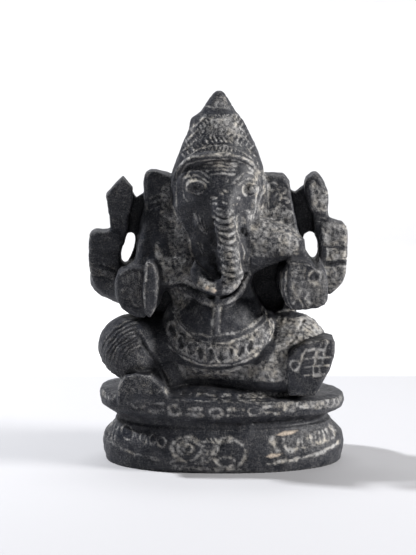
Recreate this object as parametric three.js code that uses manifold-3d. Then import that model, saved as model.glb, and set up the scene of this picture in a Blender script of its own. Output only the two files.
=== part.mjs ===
// A small seated Ganesha carved from one block of black stone, in millimetres.
// +Z is up, the figure faces -Y, and the origin is at the middle of the foot of the plinth.
// "right" and "left" are the figure's own: its right side lies at -X.
// Each carved member is a solid of its own. Neighbours keep a gap of GAP between them.
import * as THREE from "three";
import { mergeVertices } from "three/addons/utils/BufferGeometryUtils.js";
import { RoundedBoxGeometry } from "three/addons/geometries/RoundedBoxGeometry.js";
import Module from "manifold-3d";

const wasm = await Module();
wasm.setup();

// ---- driving dimensions ----
const HEIGHT = 150; // foot of the plinth to the tip of the crown
const HALF_WIDTH = 52.3; // centre line to the outer face of a rear forearm
const HALF_DEPTH = 30; // centre line to the front of the plinth
const GAP = 0.3; // clearance between neighbouring members

const PLINTH_TOP = 17;
const SEAT_FOOT = 20.4; // the recessed waist lies between PLINTH_TOP and here
const SEAT_RIM = 27.5; // rim of the seat at its two ends
const SEAT_LIFT = 3.6; // how much higher the rim is at the middle of the front
const HIP_HEIGHT = 48;
const BELLY_HEIGHT = 55;
const CHEST_HEIGHT = 76;
const SHOULDER_HEIGHT = 85;
const HEAD_HEIGHT = 107;
const FACE_HEIGHT = 105.6; // centre of the arched opening for the face
const CAP_FOOT = 111;
const TIER_FOOT = 134.6; // middle tier of the crown
const FINIAL_FOOT = 140.9;

// ---- shapes ----

// A closed three.js geometry as a manifold-3d solid.
function solid(geometry) {
  const bare = geometry.clone();
  for (const name of Object.keys(bare.attributes)) {
    if (name !== "position") bare.deleteAttribute(name);
  }
  const merged = mergeVertices(bare, 1e-3);
  const made = new wasm.Manifold(
    new wasm.Mesh({
      numProp: 3,
      vertProperties: new Float32Array(merged.attributes.position.array),
      triVerts: new Uint32Array(merged.index.array),
    }),
  );
  return made;
}

function join(solids) {
  return solids.reduce((whole, next) => whole.add(next));
}

// Larger radii get more facets round them.
const facets = (radius) => 8 + 2 * Math.round(radius / 9);

// An ellipsoid, turned about Y by tilt degrees.
function ellipsoid([x, y, z], [rx, ry, rz], grow, tilt = 0) {
  const sides = facets(Math.max(rx, ry, rz));
  const g = new THREE.SphereGeometry(1, sides, Math.round(sides * 0.6));
  g.rotateX(Math.PI / 2);
  g.scale(rx + grow, ry + grow, rz + grow);
  g.rotateY(THREE.MathUtils.degToRad(tilt));
  g.translate(x, y, z);
  return solid(g);
}

// A limb through the stations, each [x, y, z, radius]: a round-ended cone for each stretch.
function limb(stations, grow) {
  const stretches = stations.slice(1).map((end, i) => {
    const start = stations[i];
    const from = new THREE.Vector3(...start);
    const along = new THREE.Vector3(...end).sub(from);
    const profile = [];
    const CAP = 3; // facets from a pole to the widest ring
    for (let k = 0; k <= CAP; k++) {
      const a = (Math.PI / 2) * (k / CAP);
      const r = start[3] + grow;
      profile.push(new THREE.Vector2(k === 0 ? 0 : r * Math.sin(a), -r * Math.cos(a)));
    }
    for (let k = 0; k <= CAP; k++) {
      const a = (Math.PI / 2) * (k / CAP);
      const r = end[3] + grow;
      const out = k === CAP ? 0 : r * Math.cos(a);
      profile.push(new THREE.Vector2(out, along.length() + r * Math.sin(a)));
    }
    const g = new THREE.LatheGeometry(profile, facets(Math.max(start[3], end[3])));
    g.applyQuaternion(
      new THREE.Quaternion().setFromUnitVectors(
        new THREE.Vector3(0, 1, 0),
        along.clone().normalize(),
      ),
    );
    g.translate(from.x, from.y, from.z);
    return solid(g);
  });
  return join(stretches);
}

// A block with rounded edges, turned about Y by tilt degrees.
function block([x, y, z], [hx, hy, hz], radius, grow, tilt = 0) {
  const g = new RoundedBoxGeometry(
    2 * (hx + grow),
    2 * (hy + grow),
    2 * (hz + grow),
    1,
    radius,
  );
  g.rotateY(THREE.MathUtils.degToRad(tilt));
  g.translate(x, y, z);
  return solid(g);
}

// An outline in X and Z, thick from the front to the back, with bevelled edges.
function slab(outline, front, back, bevel, grow) {
  const shape = new THREE.Shape(outline.map(([x, z]) => new THREE.Vector2(x, z)));
  const g = new THREE.ExtrudeGeometry(shape, {
    depth: back - front - 2 * bevel,
    bevelThickness: bevel + grow,
    bevelSize: bevel + grow,
    bevelOffset: -bevel,
    bevelSegments: 1,
    curveSegments: 8,
  });
  g.rotateX(Math.PI / 2); // the outline's second axis becomes Z, and the thickness runs to -Y
  g.translate(0, back - bevel, 0);
  return solid(g);
}

// A turned profile of [radius, height], squeezed in Y by depth and moved to [x, y].
function turned(profile, [x, y], depth, grow, segments = 32) {
  const points = profile.map(([r, z], i) => {
    const end = i === 0 ? -grow : i === profile.length - 1 ? grow : 0;
    return new THREE.Vector2(r === 0 ? 0 : r + grow, z + end);
  });
  const g = new THREE.LatheGeometry(points, segments);
  g.rotateX(Math.PI / 2);
  g.scale(1, depth, 1);
  g.translate(x, y, 0);
  return g;
}

// A cord or roll of constant section along a smooth curve.
function roll(points, radius, grow, steps = 16) {
  const path = new THREE.CatmullRomCurve3(points.map((p) => new THREE.Vector3(...p)));
  const ring = new THREE.Shape().absarc(0, 0, radius + grow, 0, 2 * Math.PI);
  return solid(
    new THREE.ExtrudeGeometry(ring, { extrudePath: path, steps, curveSegments: 3 }),
  );
}

// The same point on the figure's other side.

// ---- base ----

function plinth(grow) {
  const profile = [
    [0, 0],
    [48.6, 0],
    [49.5, 4],
    [49.6, 7.5],
    [48.6, 10.5],
    [46, 14.2],
    [44.2, PLINTH_TOP],
    [0, PLINTH_TOP],
  ];
  return solid(turned(profile, [2.2, 0], HALF_DEPTH / 49.6, grow));
}

function waist(grow) {
  const profile = [
    [0, PLINTH_TOP + GAP],
    [43.4, PLINTH_TOP + GAP],
    [42.8, (PLINTH_TOP + SEAT_FOOT) / 2],
    [43.4, SEAT_FOOT - GAP],
    [0, SEAT_FOOT - GAP],
  ];
  return solid(turned(profile, [1.6, 0], 0.59, grow));
}

// The seat's rim bows up towards the middle, as a cushion does.
function lotusSeat(grow) {
  const profile = [
    [0, SEAT_FOOT],
    [43.6, SEAT_FOOT],
    [49.4, 23.2],
    [50.1, 25.4],
    [49.4, SEAT_RIM],
    [45, 29],
    [30, 30.2],
    [0, 30.6],
  ];
  const g = turned(profile, [1.5, 0], 0.565, grow);
  const position = g.attributes.position;
  for (let i = 0; i < position.count; i++) {
    const across = (position.getX(i) - 1.5) / 51;
    const up = THREE.MathUtils.clamp(
      (position.getZ(i) - SEAT_FOOT) / (SEAT_RIM - SEAT_FOOT),
      0,
      1,
    );
    position.setZ(i, position.getZ(i) + SEAT_LIFT * up * (1 - across * across));
  }
  return solid(g);
}

// ---- legs ----

const rightThigh = (grow) =>
  join([
    limb([[-14, 2, HIP_HEIGHT, 12], [-31, -3, 46, 13.6]], grow),
    ellipsoid([-33.2, -4.5, 45.9], [15.6, 17, 13.8], grow, 12),
  ]);

const rightShin = (grow) =>
  limb([[-38, -12, 43, 8.2], [-29, -17.5, 38.5, 7.4]], grow);

const rightFoot = (grow) => block([-29.5, -19, 34.2], [11, 6.5, 3.4], 2.6, grow, 4);

const leftThigh = (grow) =>
  join([
    limb([[14, 2, HIP_HEIGHT, 12], [28, -2, 48, 12.8]], grow),
    ellipsoid([30, -3, 47.6], [14.6, 15.6, 13.4], grow, -8),
  ]);

const leftShin = (grow) =>
  limb([[14, -13, 40, 7], [27, -14, 42, 8.6]], grow);

// The left foot lies sole outwards: a block with its corner at the knee.
const leftFoot = (grow) =>
  slab(
    [[29, 33], [40.6, 32.2], [44, 38.2], [46.6, 45.5], [46.2, 52.6], [38, 52.4], [31, 50.8], [27.4, 44]],
    -24,
    -8,
    1.4,
    grow,
  );

// ---- torso ----

const belly = (grow) => ellipsoid([0.5, -5, BELLY_HEIGHT], [24.4, 21, 19], grow);

const chest = (grow) =>
  join([
    ellipsoid([0, -1, CHEST_HEIGHT], [21, 16, 17], grow),
    limb([[-19, 0, SHOULDER_HEIGHT, 8.5], [19, 0, SHOULDER_HEIGHT, 8.5]], grow),
  ]);

// The belt: a crescent of a slightly larger belly.
function bellyBand(grow) {
  const STEPS = 10;
  const arc = (half, top, sag) =>
    Array.from({ length: STEPS + 1 }, (_, i) => {
      const a = (Math.PI * i) / STEPS;
      return [0.5 - half * Math.cos(a), top - sag * Math.sin(a)];
    });
  const crescent = [...arc(24, 57, 5.6), ...arc(23.4, 53.4, 10.4).reverse()];
  const skin = ellipsoid([0.5, -5, BELLY_HEIGHT], [25.6, 22.2, 20.2], grow);
  return skin.intersect(slab(crescent, -40, -12, 0.5, grow));
}

const girdle = (grow) =>
  roll(
    [
      [-19.5, -12.8, 63],
      [-13, -21.4, 58.4],
      [0.5, -25.4, 55.8],
      [14, -21.4, 58.4],
      [20.5, -12.8, 63],
    ],
    1.1,
    grow,
    12,
  );

const sacredThread = (grow) =>
  roll(
    [
      [-0.6, -16.6, 70.5],
      [-1.2, -22.4, 65],
      [-1.2, -25, 59.6],
    ],
    0.9,
    grow,
    6,
  );

const necklace = (grow) =>
  roll(
    [
      [-14, -12.4, 79],
      [-6, -15.8, 73.4],
      [2, -16.6, 72],
      [9, -15.2, 74.6],
      [13, -12.8, 79],
    ],
    1.6,
    grow,
    12,
  );

// The back of the trunk, with the wall behind the shoulders and ears.
const back = (grow) =>
  join([
    block([0, 8, 88], [29, 4.5, 22], 3, grow),
    limb([[0, 5, 52, 14.5], [0, 4, 84, 13]], grow),
  ]);

// ---- head ----

const head = (grow) =>
  join([
    ellipsoid([0.3, -3.4, HEAD_HEIGHT + 1.4], [18.4, 17.4, 16], grow),
    ellipsoid([0.8, -7.4, 96.5], [13.4, 14.6, 14], grow),
  ]);

const rightEye = (grow) => ellipsoid([-10.1, -18, 113.2], [4, 2.4, 3], grow);
const leftEye = (grow) => ellipsoid([12.7, -17.4, 113], [4, 2.4, 3], grow);

const headband = (grow) =>
  roll(
    [
      [-18.4, -7, 108],
      [-16.2, -13.4, 116],
      [-9.2, -18.2, 122.4],
      [0.3, -20, 124.4],
      [9.8, -18.2, 122.4],
      [16.6, -13.4, 116],
      [18.8, -7, 108.6],
    ],
    1.6,
    grow,
  );

const trunk = (grow) =>
  limb([[2.3, -18, 108, 6.2], [3, -22.6, 101, 4.9], [4.6, -24.2, 91, 4.7], [5.6, -24.9, 81.6, 4.9]], grow);

const trunkTip = (grow) =>
  limb(
    [
      [5.2, -25, 80.4, 4.7],
      [2.6, -25.4, 76.6, 4.2],
      [-2.4, -25.2, 75.6, 3.8],
      [-6.6, -24.4, 78.2, 3.2],
      [-8, -23.4, 83.4, 1.8],
    ],
    grow,
  );

const rightTusk = (grow) => limb([[-9.4, -18.6, 101, 2.4], [-5.6, -22.6, 95, 1.3]], grow);
const leftTusk = (grow) => limb([[11.6, -18.4, 101, 2.6], [10.4, -21.4, 96.4, 2.2]], grow);

const rightEar = (grow) =>
  slab(
    [
      [-20, 117.2],
      [-26.5, 118.2],
      [-29.6, 116.2],
      [-31.4, 104],
      [-32.6, 93],
      [-27, 84],
      [-15, 83],
      [-13, 100],
    ],
    -5.5,
    6.5,
    1.2,
    grow,
  );

const leftEar = (grow) =>
  slab(
    [[20, 116.6], [28.6, 115.2], [29.8, 104], [32.2, 94.5], [34, 87.6], [27, 82], [15, 80.5], [13, 100]],
    -6,
    6.5,
    1.2,
    grow,
  );

// ---- crown ----

// A hood over the back of the head, with an arched opening for the face.
function crownCap(grow) {
  const profile = [
    [0, CAP_FOOT],
    [20.2, CAP_FOOT],
    [18.6, 117],
    [17, 122],
    [15.6, 126.3],
    [13.6, 131],
    [11.2, TIER_FOOT - GAP],
    [0, TIER_FOOT - GAP],
  ];
  const hood = solid(turned(profile, [0, -3.4], 0.95, grow, 20));
  const face = turned([[0, 0], [17.6 - grow, 0], [17.6 - grow, 40], [0, 40]], [0, 0], 1.05, 0, 20);
  face.rotateX(Math.PI / 2);
  face.translate(0.3, -5, FACE_HEIGHT);
  return hood.subtract(solid(face));
}

function crownTier(grow) {
  const profile = [
    [0, TIER_FOOT],
    [11.4, TIER_FOOT],
    [11, 137.6],
    [9.3, FINIAL_FOOT - GAP],
    [0, FINIAL_FOOT - GAP],
  ];
  return solid(turned(profile, [-0.4, -2.4], 0.95, grow, 20));
}

function crownFinial(grow) {
  const profile = [
    [0, FINIAL_FOOT],
    [7.2, FINIAL_FOOT],
    [6.3, 143],
    [5.3, 145.4],
    [3.9, 147.7],
    [1.8, 149.5],
    [0, HEIGHT],
  ];
  return solid(turned(profile, [0.2, -2], 0.95, grow, 16));
}

// ---- rear arms, one each side ----

const RIGHT = -1;
const LEFT = 1;

const rearUpperArm = (side) => (grow) =>
  limb([[side * 22, 5, 78, 8], [side * 43.6, 2.5, 73.6, 7.6]], grow);

const rearForearm = (side, top) => (grow) =>
  block(
    [side * (HALF_WIDTH - 5.2), 2, (top + 71) / 2],
    [5.2, 6, (top - 71) / 2],
    1.8,
    grow,
  );

const rearHand = (side) => (grow) =>
  block([side * 41, 1, 93], [3.1, 5, 7], 1.6, grow, side * 4);

// The raised attributes: a goad with a pointed bud, and a closed lotus.
const goad = (grow) =>
  slab(
    [[-36.4, 100.4], [-43.6, 100.4], [-45, 108.2], [-38.9, 115.4], [-34.8, 110.8], [-34.4, 106]],
    -4.5,
    4.5,
    1.4,
    grow,
  );

const lotusBud = (grow) =>
  slab(
    [[38.2, 100.4], [43.6, 100.4], [44.6, 107.6], [42.6, 113.6], [39.2, 116.6], [34.6, 113.8], [35.8, 106]],
    -4.5,
    4.5,
    1.4,
    grow,
  );

// The thin wall that ties each raised attribute to its ear, set back from both.
const rightWeb = (grow) =>
  slab([[-29, 93], [-37, 93], [-37, 108], [-33.4, 106.6], [-29, 109]], 1.5, 6, 0.6, grow);

const leftWeb = (grow) =>
  slab([[28, 92.6], [39.4, 92.6], [39.4, 110], [31.6, 108.8], [28, 109.4]], 1.5, 6, 0.6, grow);

// ---- front arms ----

const rightFrontArm = (grow) =>
  limb([[-19, -5, 86, 7.4], [-33.5, -7.5, 73.5, 8], [-34.4, -12, 74, 7]], grow);

const leftFrontArm = (grow) =>
  limb([[19, -5, 87.4, 6.6], [33.4, -6, 82, 6.8], [34.6, -11, 77, 7]], grow);

const rightFrontHand = (grow) => block([-34.6, -17.2, 75], [5.4, 4.6, 7.6], 2.4, grow, 8);

const heldTusk = (grow) =>
  slab(
    [[-29.8, 82.4], [-24.6, 82.6], [-23.6, 76], [-24.4, 69], [-27.2, 62], [-30.2, 66.4], [-30, 74]],
    -26,
    -15,
    1.2,
    grow,
  );

const leftFrontHand = (grow) =>
  slab(
    [
      [29.6, 83.4],
      [25.6, 81.8],
      [24.8, 77],
      [25.2, 72],
      [28, 65.6],
      [41.4, 67.4],
      [42.6, 70.4],
      [42.4, 77],
      [38, 82],
    ],
    -26.5,
    -13,
    1.6,
    grow,
  );

const sweets = (grow) => ellipsoid([-2.8, -26.6, 79.6], [3.2, 2.6, 2.6], grow, 20);

// ---- assembly ----

const PLAIN = new THREE.Color(0x34353a);
const CARVED = new THREE.Color(0x45454a);

// Earlier members keep their whole shape and later ones are cut back from them.
const MEMBERS = [
  ["plinth", plinth, CARVED],
  ["waist", waist, PLAIN],
  ["lotus_seat", lotusSeat, CARVED],
  ["crown_finial", crownFinial, CARVED],
  ["crown_tier", crownTier, CARVED],
  ["headband", headband, CARVED],
  ["right_eye", rightEye, CARVED],
  ["left_eye", leftEye, CARVED],
  ["sweets", sweets, CARVED],
  ["trunk_tip", trunkTip, CARVED],
  ["trunk", trunk, CARVED],
  ["right_tusk", rightTusk, CARVED],
  ["left_tusk", leftTusk, CARVED],
  ["held_tusk", heldTusk, CARVED],
  ["right_front_hand", rightFrontHand, CARVED],
  ["left_front_hand", leftFrontHand, CARVED],
  ["right_goad", goad, CARVED],
  ["left_lotus_bud", lotusBud, CARVED],
  ["right_rear_forearm", rearForearm(RIGHT, 92.2), CARVED],
  ["left_rear_forearm", rearForearm(LEFT, 96.2), CARVED],
  ["right_rear_hand", rearHand(RIGHT), CARVED],
  ["left_rear_hand", rearHand(LEFT), CARVED],
  ["right_foot", rightFoot, CARVED],
  ["left_foot", leftFoot, CARVED],
  ["head", head, PLAIN],
  ["crown_cap", crownCap, CARVED],
  ["right_ear", rightEar, CARVED],
  ["left_ear", leftEar, CARVED],
  ["right_front_arm", rightFrontArm, PLAIN],
  ["left_front_arm", leftFrontArm, PLAIN],
  ["right_rear_upper_arm", rearUpperArm(RIGHT), PLAIN],
  ["left_rear_upper_arm", rearUpperArm(LEFT), PLAIN],
  ["right_web", rightWeb, PLAIN],
  ["left_web", leftWeb, PLAIN],
  ["right_shin", rightShin, PLAIN],
  ["left_shin", leftShin, PLAIN],
  ["sacred_thread", sacredThread, CARVED],
  ["necklace", necklace, CARVED],
  ["girdle", girdle, CARVED],
  ["belly", belly, PLAIN],
  ["belly_band", bellyBand, CARVED],
  ["right_thigh", rightThigh, CARVED],
  ["left_thigh", leftThigh, PLAIN],
  ["chest", chest, PLAIN],
  ["back", back, PLAIN],
];

// A manifold-3d solid as a three.js geometry.
function geometryOf(made) {
  const mesh = made.getMesh();
  const corners = new Float32Array(mesh.numVert * 3);
  for (let i = 0; i < mesh.numVert; i++) {
    corners.set(mesh.vertProperties.subarray(i * mesh.numProp, i * mesh.numProp + 3), i * 3);
  }
  const g = new THREE.BufferGeometry();
  g.setAttribute("position", new THREE.BufferAttribute(corners, 3));
  g.setIndex(new THREE.BufferAttribute(mesh.triVerts, 1));
  g.computeVertexNormals();
  return g;
}

// Cutting can leave crumbs, so a member is the largest body that is left of it.
function largestBody(made) {
  return made.decompose().reduce((a, b) => (a.volume() > b.volume() ? a : b));
}

const ganesha = new THREE.Group();
const cutters = [];
for (const [name, shape, colour] of MEMBERS) {
  let member = shape(0);
  for (const cutter of cutters) member = member.subtract(cutter);
  cutters.push(shape(GAP));
  const stone = new THREE.MeshStandardMaterial({ color: colour, roughness: 0.75, metalness: 0 });
  const mesh = new THREE.Mesh(geometryOf(largestBody(member)), stone);
  mesh.name = name;
  ganesha.add(mesh);
}

export default ganesha;
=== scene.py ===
"""A small seated Ganesha, carved from one block of black stone.

The figure is sculpted on a grid as a distance field in millimetres, one carved member at a
time, and each member becomes a closed mesh that meets its neighbours without a gap. Its
ornament is then scratched and pecked into the surface. +Z is up, the figure faces -Y, and
"right" and "left" are the figure's own: its right side lies at -X.
"""
import math

import bpy
import numpy as np
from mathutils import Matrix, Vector


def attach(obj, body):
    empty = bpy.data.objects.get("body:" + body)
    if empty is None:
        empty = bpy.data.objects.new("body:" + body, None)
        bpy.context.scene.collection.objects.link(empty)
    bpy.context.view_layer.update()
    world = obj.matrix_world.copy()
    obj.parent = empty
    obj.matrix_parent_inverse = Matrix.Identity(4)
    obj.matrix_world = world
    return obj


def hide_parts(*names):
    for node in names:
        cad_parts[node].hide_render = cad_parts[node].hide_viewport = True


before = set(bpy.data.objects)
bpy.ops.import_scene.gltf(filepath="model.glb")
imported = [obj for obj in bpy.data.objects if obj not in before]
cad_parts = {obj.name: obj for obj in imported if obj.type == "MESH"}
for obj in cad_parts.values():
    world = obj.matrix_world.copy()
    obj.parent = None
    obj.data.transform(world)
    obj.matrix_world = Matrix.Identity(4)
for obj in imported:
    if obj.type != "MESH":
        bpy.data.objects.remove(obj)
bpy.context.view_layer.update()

MM = 0.001

# ---- camera, light and floor ----

CAMERA_AT = (-4.1, -800.0, 200.0)
CAMERA_LOOKS_AT = (-4.1, 0.0, 74.5)


def aim(thing, target):
    """Turns a camera or lamp at its place so that it looks at the target."""
    direction = Vector(target) * MM - thing.location
    thing.rotation_euler = direction.to_track_quat("-Z", "Y").to_euler()


def add_camera():
    data = bpy.data.cameras.new("camera")
    data.lens = 129.1
    data.sensor_width = 36.0
    camera = bpy.data.objects.new("camera", data)
    camera.location = Vector(CAMERA_AT) * MM
    aim(camera, CAMERA_LOOKS_AT)
    bpy.context.collection.objects.link(camera)
    bpy.context.scene.camera = camera


def add_softbox(name, place, size, power, colour, mirrored=True):
    """An area lamp; one that is not mirrored leaves no highlight on the stone."""
    data = bpy.data.lights.new(name, "AREA")
    data.shape = "RECTANGLE"
    data.size = size[0] * MM
    data.size_y = size[1] * MM
    data.energy = power
    data.color = colour
    lamp = bpy.data.objects.new(name, data)
    lamp.location = Vector(place) * MM
    lamp.visible_glossy = mirrored
    aim(lamp, (0, 0, 70))
    bpy.context.collection.objects.link(lamp)


def add_sheet(name, profile, colour):
    """A matt sheet, 3 m wide, that follows a profile of (y, z) in metres."""
    material = bpy.data.materials.new(name)
    material.use_nodes = True
    shader = material.node_tree.nodes["Principled BSDF"]
    shader.inputs["Base Color"].default_value = (*colour, 1)
    shader.inputs["Roughness"].default_value = 0.95
    shader.inputs["Specular IOR Level"].default_value = 0.1
    corners = [(side * 1.5, y, z) for y, z in profile for side in (-1, 1)]
    faces = [(2 * i, 2 * i + 1, 2 * i + 3, 2 * i + 2) for i in range(len(profile) - 1)]
    mesh = bpy.data.meshes.new(name)
    mesh.from_pydata(corners, [], faces)
    mesh.polygons.foreach_set("use_smooth", [True] * len(faces))
    mesh.materials.append(material)
    sheet = bpy.data.objects.new(name, mesh)
    bpy.context.collection.objects.link(sheet)


def add_floor():
    """A pale table sheet, and behind its edge a white sheet that turns up as a backdrop."""
    edge, far, rise, bend = 0.162, 0.9, 1.8, 0.25
    sweep = [(edge, -0.0004), (far - bend, -0.0004)]
    for step in range(1, 9):
        angle = math.pi / 2 * step / 8
        sweep.append((far - bend + bend * math.sin(angle), bend - bend * math.cos(angle)))
    sweep.append((far, rise))
    add_sheet("table_sheet", [(-1.4, 0), (edge, 0)], (0.412, 0.412, 0.430))
    add_sheet("backdrop_sheet", sweep, (0.62, 0.62, 0.63))


def add_world():
    """A dim room for the light, and a white one where the camera looks past the sheets."""
    world = bpy.data.worlds.new("studio")
    world.use_nodes = True
    nodes, links = world.node_tree.nodes, world.node_tree.links
    room = nodes["Background"]
    room.inputs["Color"].default_value = (0.93, 0.96, 1.0, 1)
    room.inputs["Strength"].default_value = 0.10
    seen = nodes.new("ShaderNodeBackground")
    seen.inputs["Color"].default_value = (0.95, 0.95, 0.97, 1)
    path = nodes.new("ShaderNodeLightPath")
    choice = nodes.new("ShaderNodeMixShader")
    links.new(path.outputs["Is Camera Ray"], choice.inputs["Fac"])
    links.new(room.outputs["Background"], choice.inputs[1])
    links.new(seen.outputs["Background"], choice.inputs[2])
    links.new(choice.outputs["Shader"], nodes["World Output"].inputs["Surface"])
    bpy.context.scene.world = world


def add_lights():
    add_softbox("key", (920, -270, 400), (300, 300), 19.0, (1.0, 0.985, 0.965))
    add_softbox("window", (-620, 170, 680), (70, 70), 14.0, (0.98, 0.99, 1.0), False)
    add_softbox("backdrop_lamp", (0, 520, 1500), (900, 300), 8.0, (1.0, 1.0, 1.0))
    bpy.context.scene.view_settings.view_transform = "Standard"


add_camera()
add_floor()
add_world()
add_lights()

# ---- shapes as distance fields ----
# A shape is (low corner, high corner, distance), where distance(x, y, z) is below 0 inside.


def smooth_min(a, b, blend):
    """The union of two fields, with a fillet of about the blend's size where they meet."""
    near = np.maximum(blend - np.abs(a - b), 0) / blend
    return np.minimum(a, b) - near * near * blend / 4


def curve(points, steps=6):
    """A smooth run of points through the given ones (Catmull-Rom), for any number of axes."""
    p = np.asarray(points, float)
    p = np.vstack([2 * p[0] - p[1], p, 2 * p[-1] - p[-2]])
    out = []
    for a, b, c, d in zip(p, p[1:], p[2:], p[3:]):
        for t in np.arange(steps) / steps:
            out.append(
                0.5
                * (
                    2 * b
                    + (c - a) * t
                    + (2 * a - 5 * b + 4 * c - d) * t**2
                    + (3 * b - a - 3 * c + d) * t**3
                )
            )
    out.append(p[-2])
    return np.array(out)


def rounded(points, times=2):
    """An outline with its corners cut back, so that it reads as a soft curve."""
    p = np.asarray(points, float)
    for _ in range(times):
        following = np.roll(p, -1, axis=0)
        p = np.stack([0.75 * p + 0.25 * following, 0.25 * p + 0.75 * following], 1)
        p = p.reshape(-1, 2)
    return p


def outline_distance(points, u, v):
    """Signed distance to a closed outline in the plane of u and v."""
    nearest_squared = np.inf
    inside = False
    for (au, av), (bu, bv) in zip(points, np.roll(points, -1, axis=0)):
        eu, ev = bu - au, bv - av
        length_squared = eu * eu + ev * ev
        if length_squared < 1e-9:
            continue
        t = np.clip(((u - au) * eu + (v - av) * ev) / length_squared, 0, 1)
        gap = (u - au - eu * t) ** 2 + (v - av - ev * t) ** 2
        nearest_squared = np.minimum(nearest_squared, gap)
        if ev:
            crosses = ((av > v) != (bv > v)) & (u < eu * (v - av) / ev + au)
            inside = inside ^ crosses
    return np.where(inside, -1, 1) * np.sqrt(nearest_squared)


def ellipsoid(centre, radii, tilt=0.0):
    """An egg, turned in the XZ plane by tilt degrees."""
    c, s = math.cos(math.radians(tilt)), math.sin(math.radians(tilt))
    reach = np.array(radii, float)
    if tilt:
        reach[[0, 2]] = max(radii[0], radii[2])

    def distance(x, y, z):
        dx, dz = x - centre[0], z - centre[2]
        u = (c * dx + s * dz) / radii[0]
        v = (y - centre[1]) / radii[1]
        w = (c * dz - s * dx) / radii[2]
        size = np.sqrt(u * u + v * v + w * w)
        slope = np.sqrt((u / radii[0]) ** 2 + (v / radii[1]) ** 2 + (w / radii[2]) ** 2)
        return size * (size - 1) / np.maximum(slope, 1e-6)

    return np.array(centre) - reach, np.array(centre) + reach, distance


def limb(stations):
    """Round stone along the stations, each (x, y, z, radius)."""
    stations = np.asarray(stations, float)
    low = (stations[:, :3] - stations[:, 3:]).min(0)
    high = (stations[:, :3] + stations[:, 3:]).max(0)

    def distance(x, y, z):
        nearest_yet = np.inf
        for a, b in zip(stations, stations[1:]):
            e = b - a
            along = (x - a[0]) * e[0] + (y - a[1]) * e[1] + (z - a[2]) * e[2]
            t = np.clip(along / max(float(e[:3] @ e[:3]), 1e-9), 0, 1)
            gap = np.sqrt(
                (x - a[0] - t * e[0]) ** 2
                + (y - a[1] - t * e[1]) ** 2
                + (z - a[2] - t * e[2]) ** 2
            )
            nearest_yet = np.minimum(nearest_yet, gap - a[3] - t * e[3])
        return nearest_yet

    return low, high, distance


def plate(outline, front, back, edge=1.5, lean=0.0):
    """An outline in X and Z, thick from front to back, with its edges rounded over.

    lean moves the plate back by that much for each millimetre of height over its middle.
    """
    outline = np.asarray(outline, float)
    middle_z = outline[:, 1].mean()
    sway = abs(lean) * np.ptp(outline[:, 1]) / 2
    low = np.array([outline[:, 0].min(), front - sway, outline[:, 1].min()])
    high = np.array([outline[:, 0].max(), back + sway, outline[:, 1].max()])

    def distance(x, y, z):
        flat = outline_distance(outline, x, z) + edge
        middle_y = (front + back) / 2 + lean * (z - middle_z)
        thick = np.abs(y - middle_y) - (back - front) / 2 + edge
        outside = np.sqrt(np.maximum(flat, 0) ** 2 + np.maximum(thick, 0) ** 2)
        return outside + np.minimum(np.maximum(flat, thick), 0) - edge

    return low, high, distance


def turned(profile, centre, depth, power=2.0, lift=None):
    """A profile of (radius, height) swept round an oval plan.

    depth is the plan's depth over its width, and a power over 2 squares its corners.
    lift(x, z) says how far the stone is raised there.
    """
    profile = np.asarray(profile, float)
    widest = profile[:, 0].max()
    low = np.array([centre[0] - widest, centre[1] - widest * depth, profile[:, 1].min()])
    high = np.array([centre[0] + widest, centre[1] + widest * depth, profile[:, 1].max() + 5])
    closed = np.vstack([[0, profile[0, 1]], profile, [0, profile[-1, 1]]])

    def distance(x, y, z):
        u, v = np.abs(x - centre[0]), np.abs(y - centre[1]) / depth
        radius = (u**power + v**power) ** (1 / power)
        raised = z if lift is None else z - lift(x, z)
        return outline_distance(closed, radius, raised) * (0.5 + 0.5 * depth)

    return low, high, distance


# ---- the block ----


class Block:
    """The stone on a grid: its distance field, and the member that each point belongs to."""

    STEP = 0.5
    LOW = np.array([-54.0, -31.5, -1.5])
    HIGH = np.array([54.0, 31.5, 152.0])
    FAR = 50.0

    def __init__(self):
        self.shape = tuple(np.ceil((self.HIGH - self.LOW) / self.STEP).astype(int) + 1)
        self.field = np.full(self.shape, self.FAR, np.float32)
        self.nearest = np.full(self.shape, self.FAR, np.float32)
        self.owner = np.zeros(self.shape, np.uint8)
        self.members = []

    def window(self, low, high, margin):
        """The part of the grid round a box, and its coordinates along each axis."""
        start = np.floor((low - margin - self.LOW) / self.STEP).astype(int)
        stop = np.ceil((high + margin - self.LOW) / self.STEP).astype(int) + 1
        start = np.clip(start, 0, self.shape)
        stop = np.clip(stop, 0, self.shape)
        axes = []
        for axis in range(3):
            marks = self.LOW[axis] + self.STEP * np.arange(start[axis], stop[axis])
            spread = [1, 1, 1]
            spread[axis] = -1
            axes.append(marks.astype(np.float32).reshape(spread))
        return tuple(slice(a, b) for a, b in zip(start, stop)), axes

    def add(self, name, *shapes, blend=2.0, join=1.2, less=()):
        """Adds a member: its shapes run together by blend, and into the stone by join."""
        low = np.min([shape[0] for shape in shapes], axis=0)
        high = np.max([shape[1] for shape in shapes], axis=0)
        here, axes = self.window(low, high, 5.0)
        own = shapes[0][2](*axes)
        for _, _, distance in shapes[1:]:
            own = smooth_min(own, distance(*axes), blend)
        for _, _, distance in less:
            own = -smooth_min(-own, distance(*axes), 0.8)
        own = own.astype(np.float32)
        self.members.append(name)
        closer = own < self.nearest[here]
        self.owner[here][closer] = len(self.members)
        self.nearest[here] = np.minimum(self.nearest[here], own)
        self.field[here] = smooth_min(self.field[here], own, join)

    def cut(self, shape, blend=0.8):
        """Takes a shape out of the stone."""
        here, axes = self.window(shape[0], shape[1], 3.0)
        self.field[here] = -smooth_min(-self.field[here], shape[2](*axes), blend)


block = Block()

# Base.

PLINTH_TOP = 17.0
SEAT_FOOT = 19.4


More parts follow.
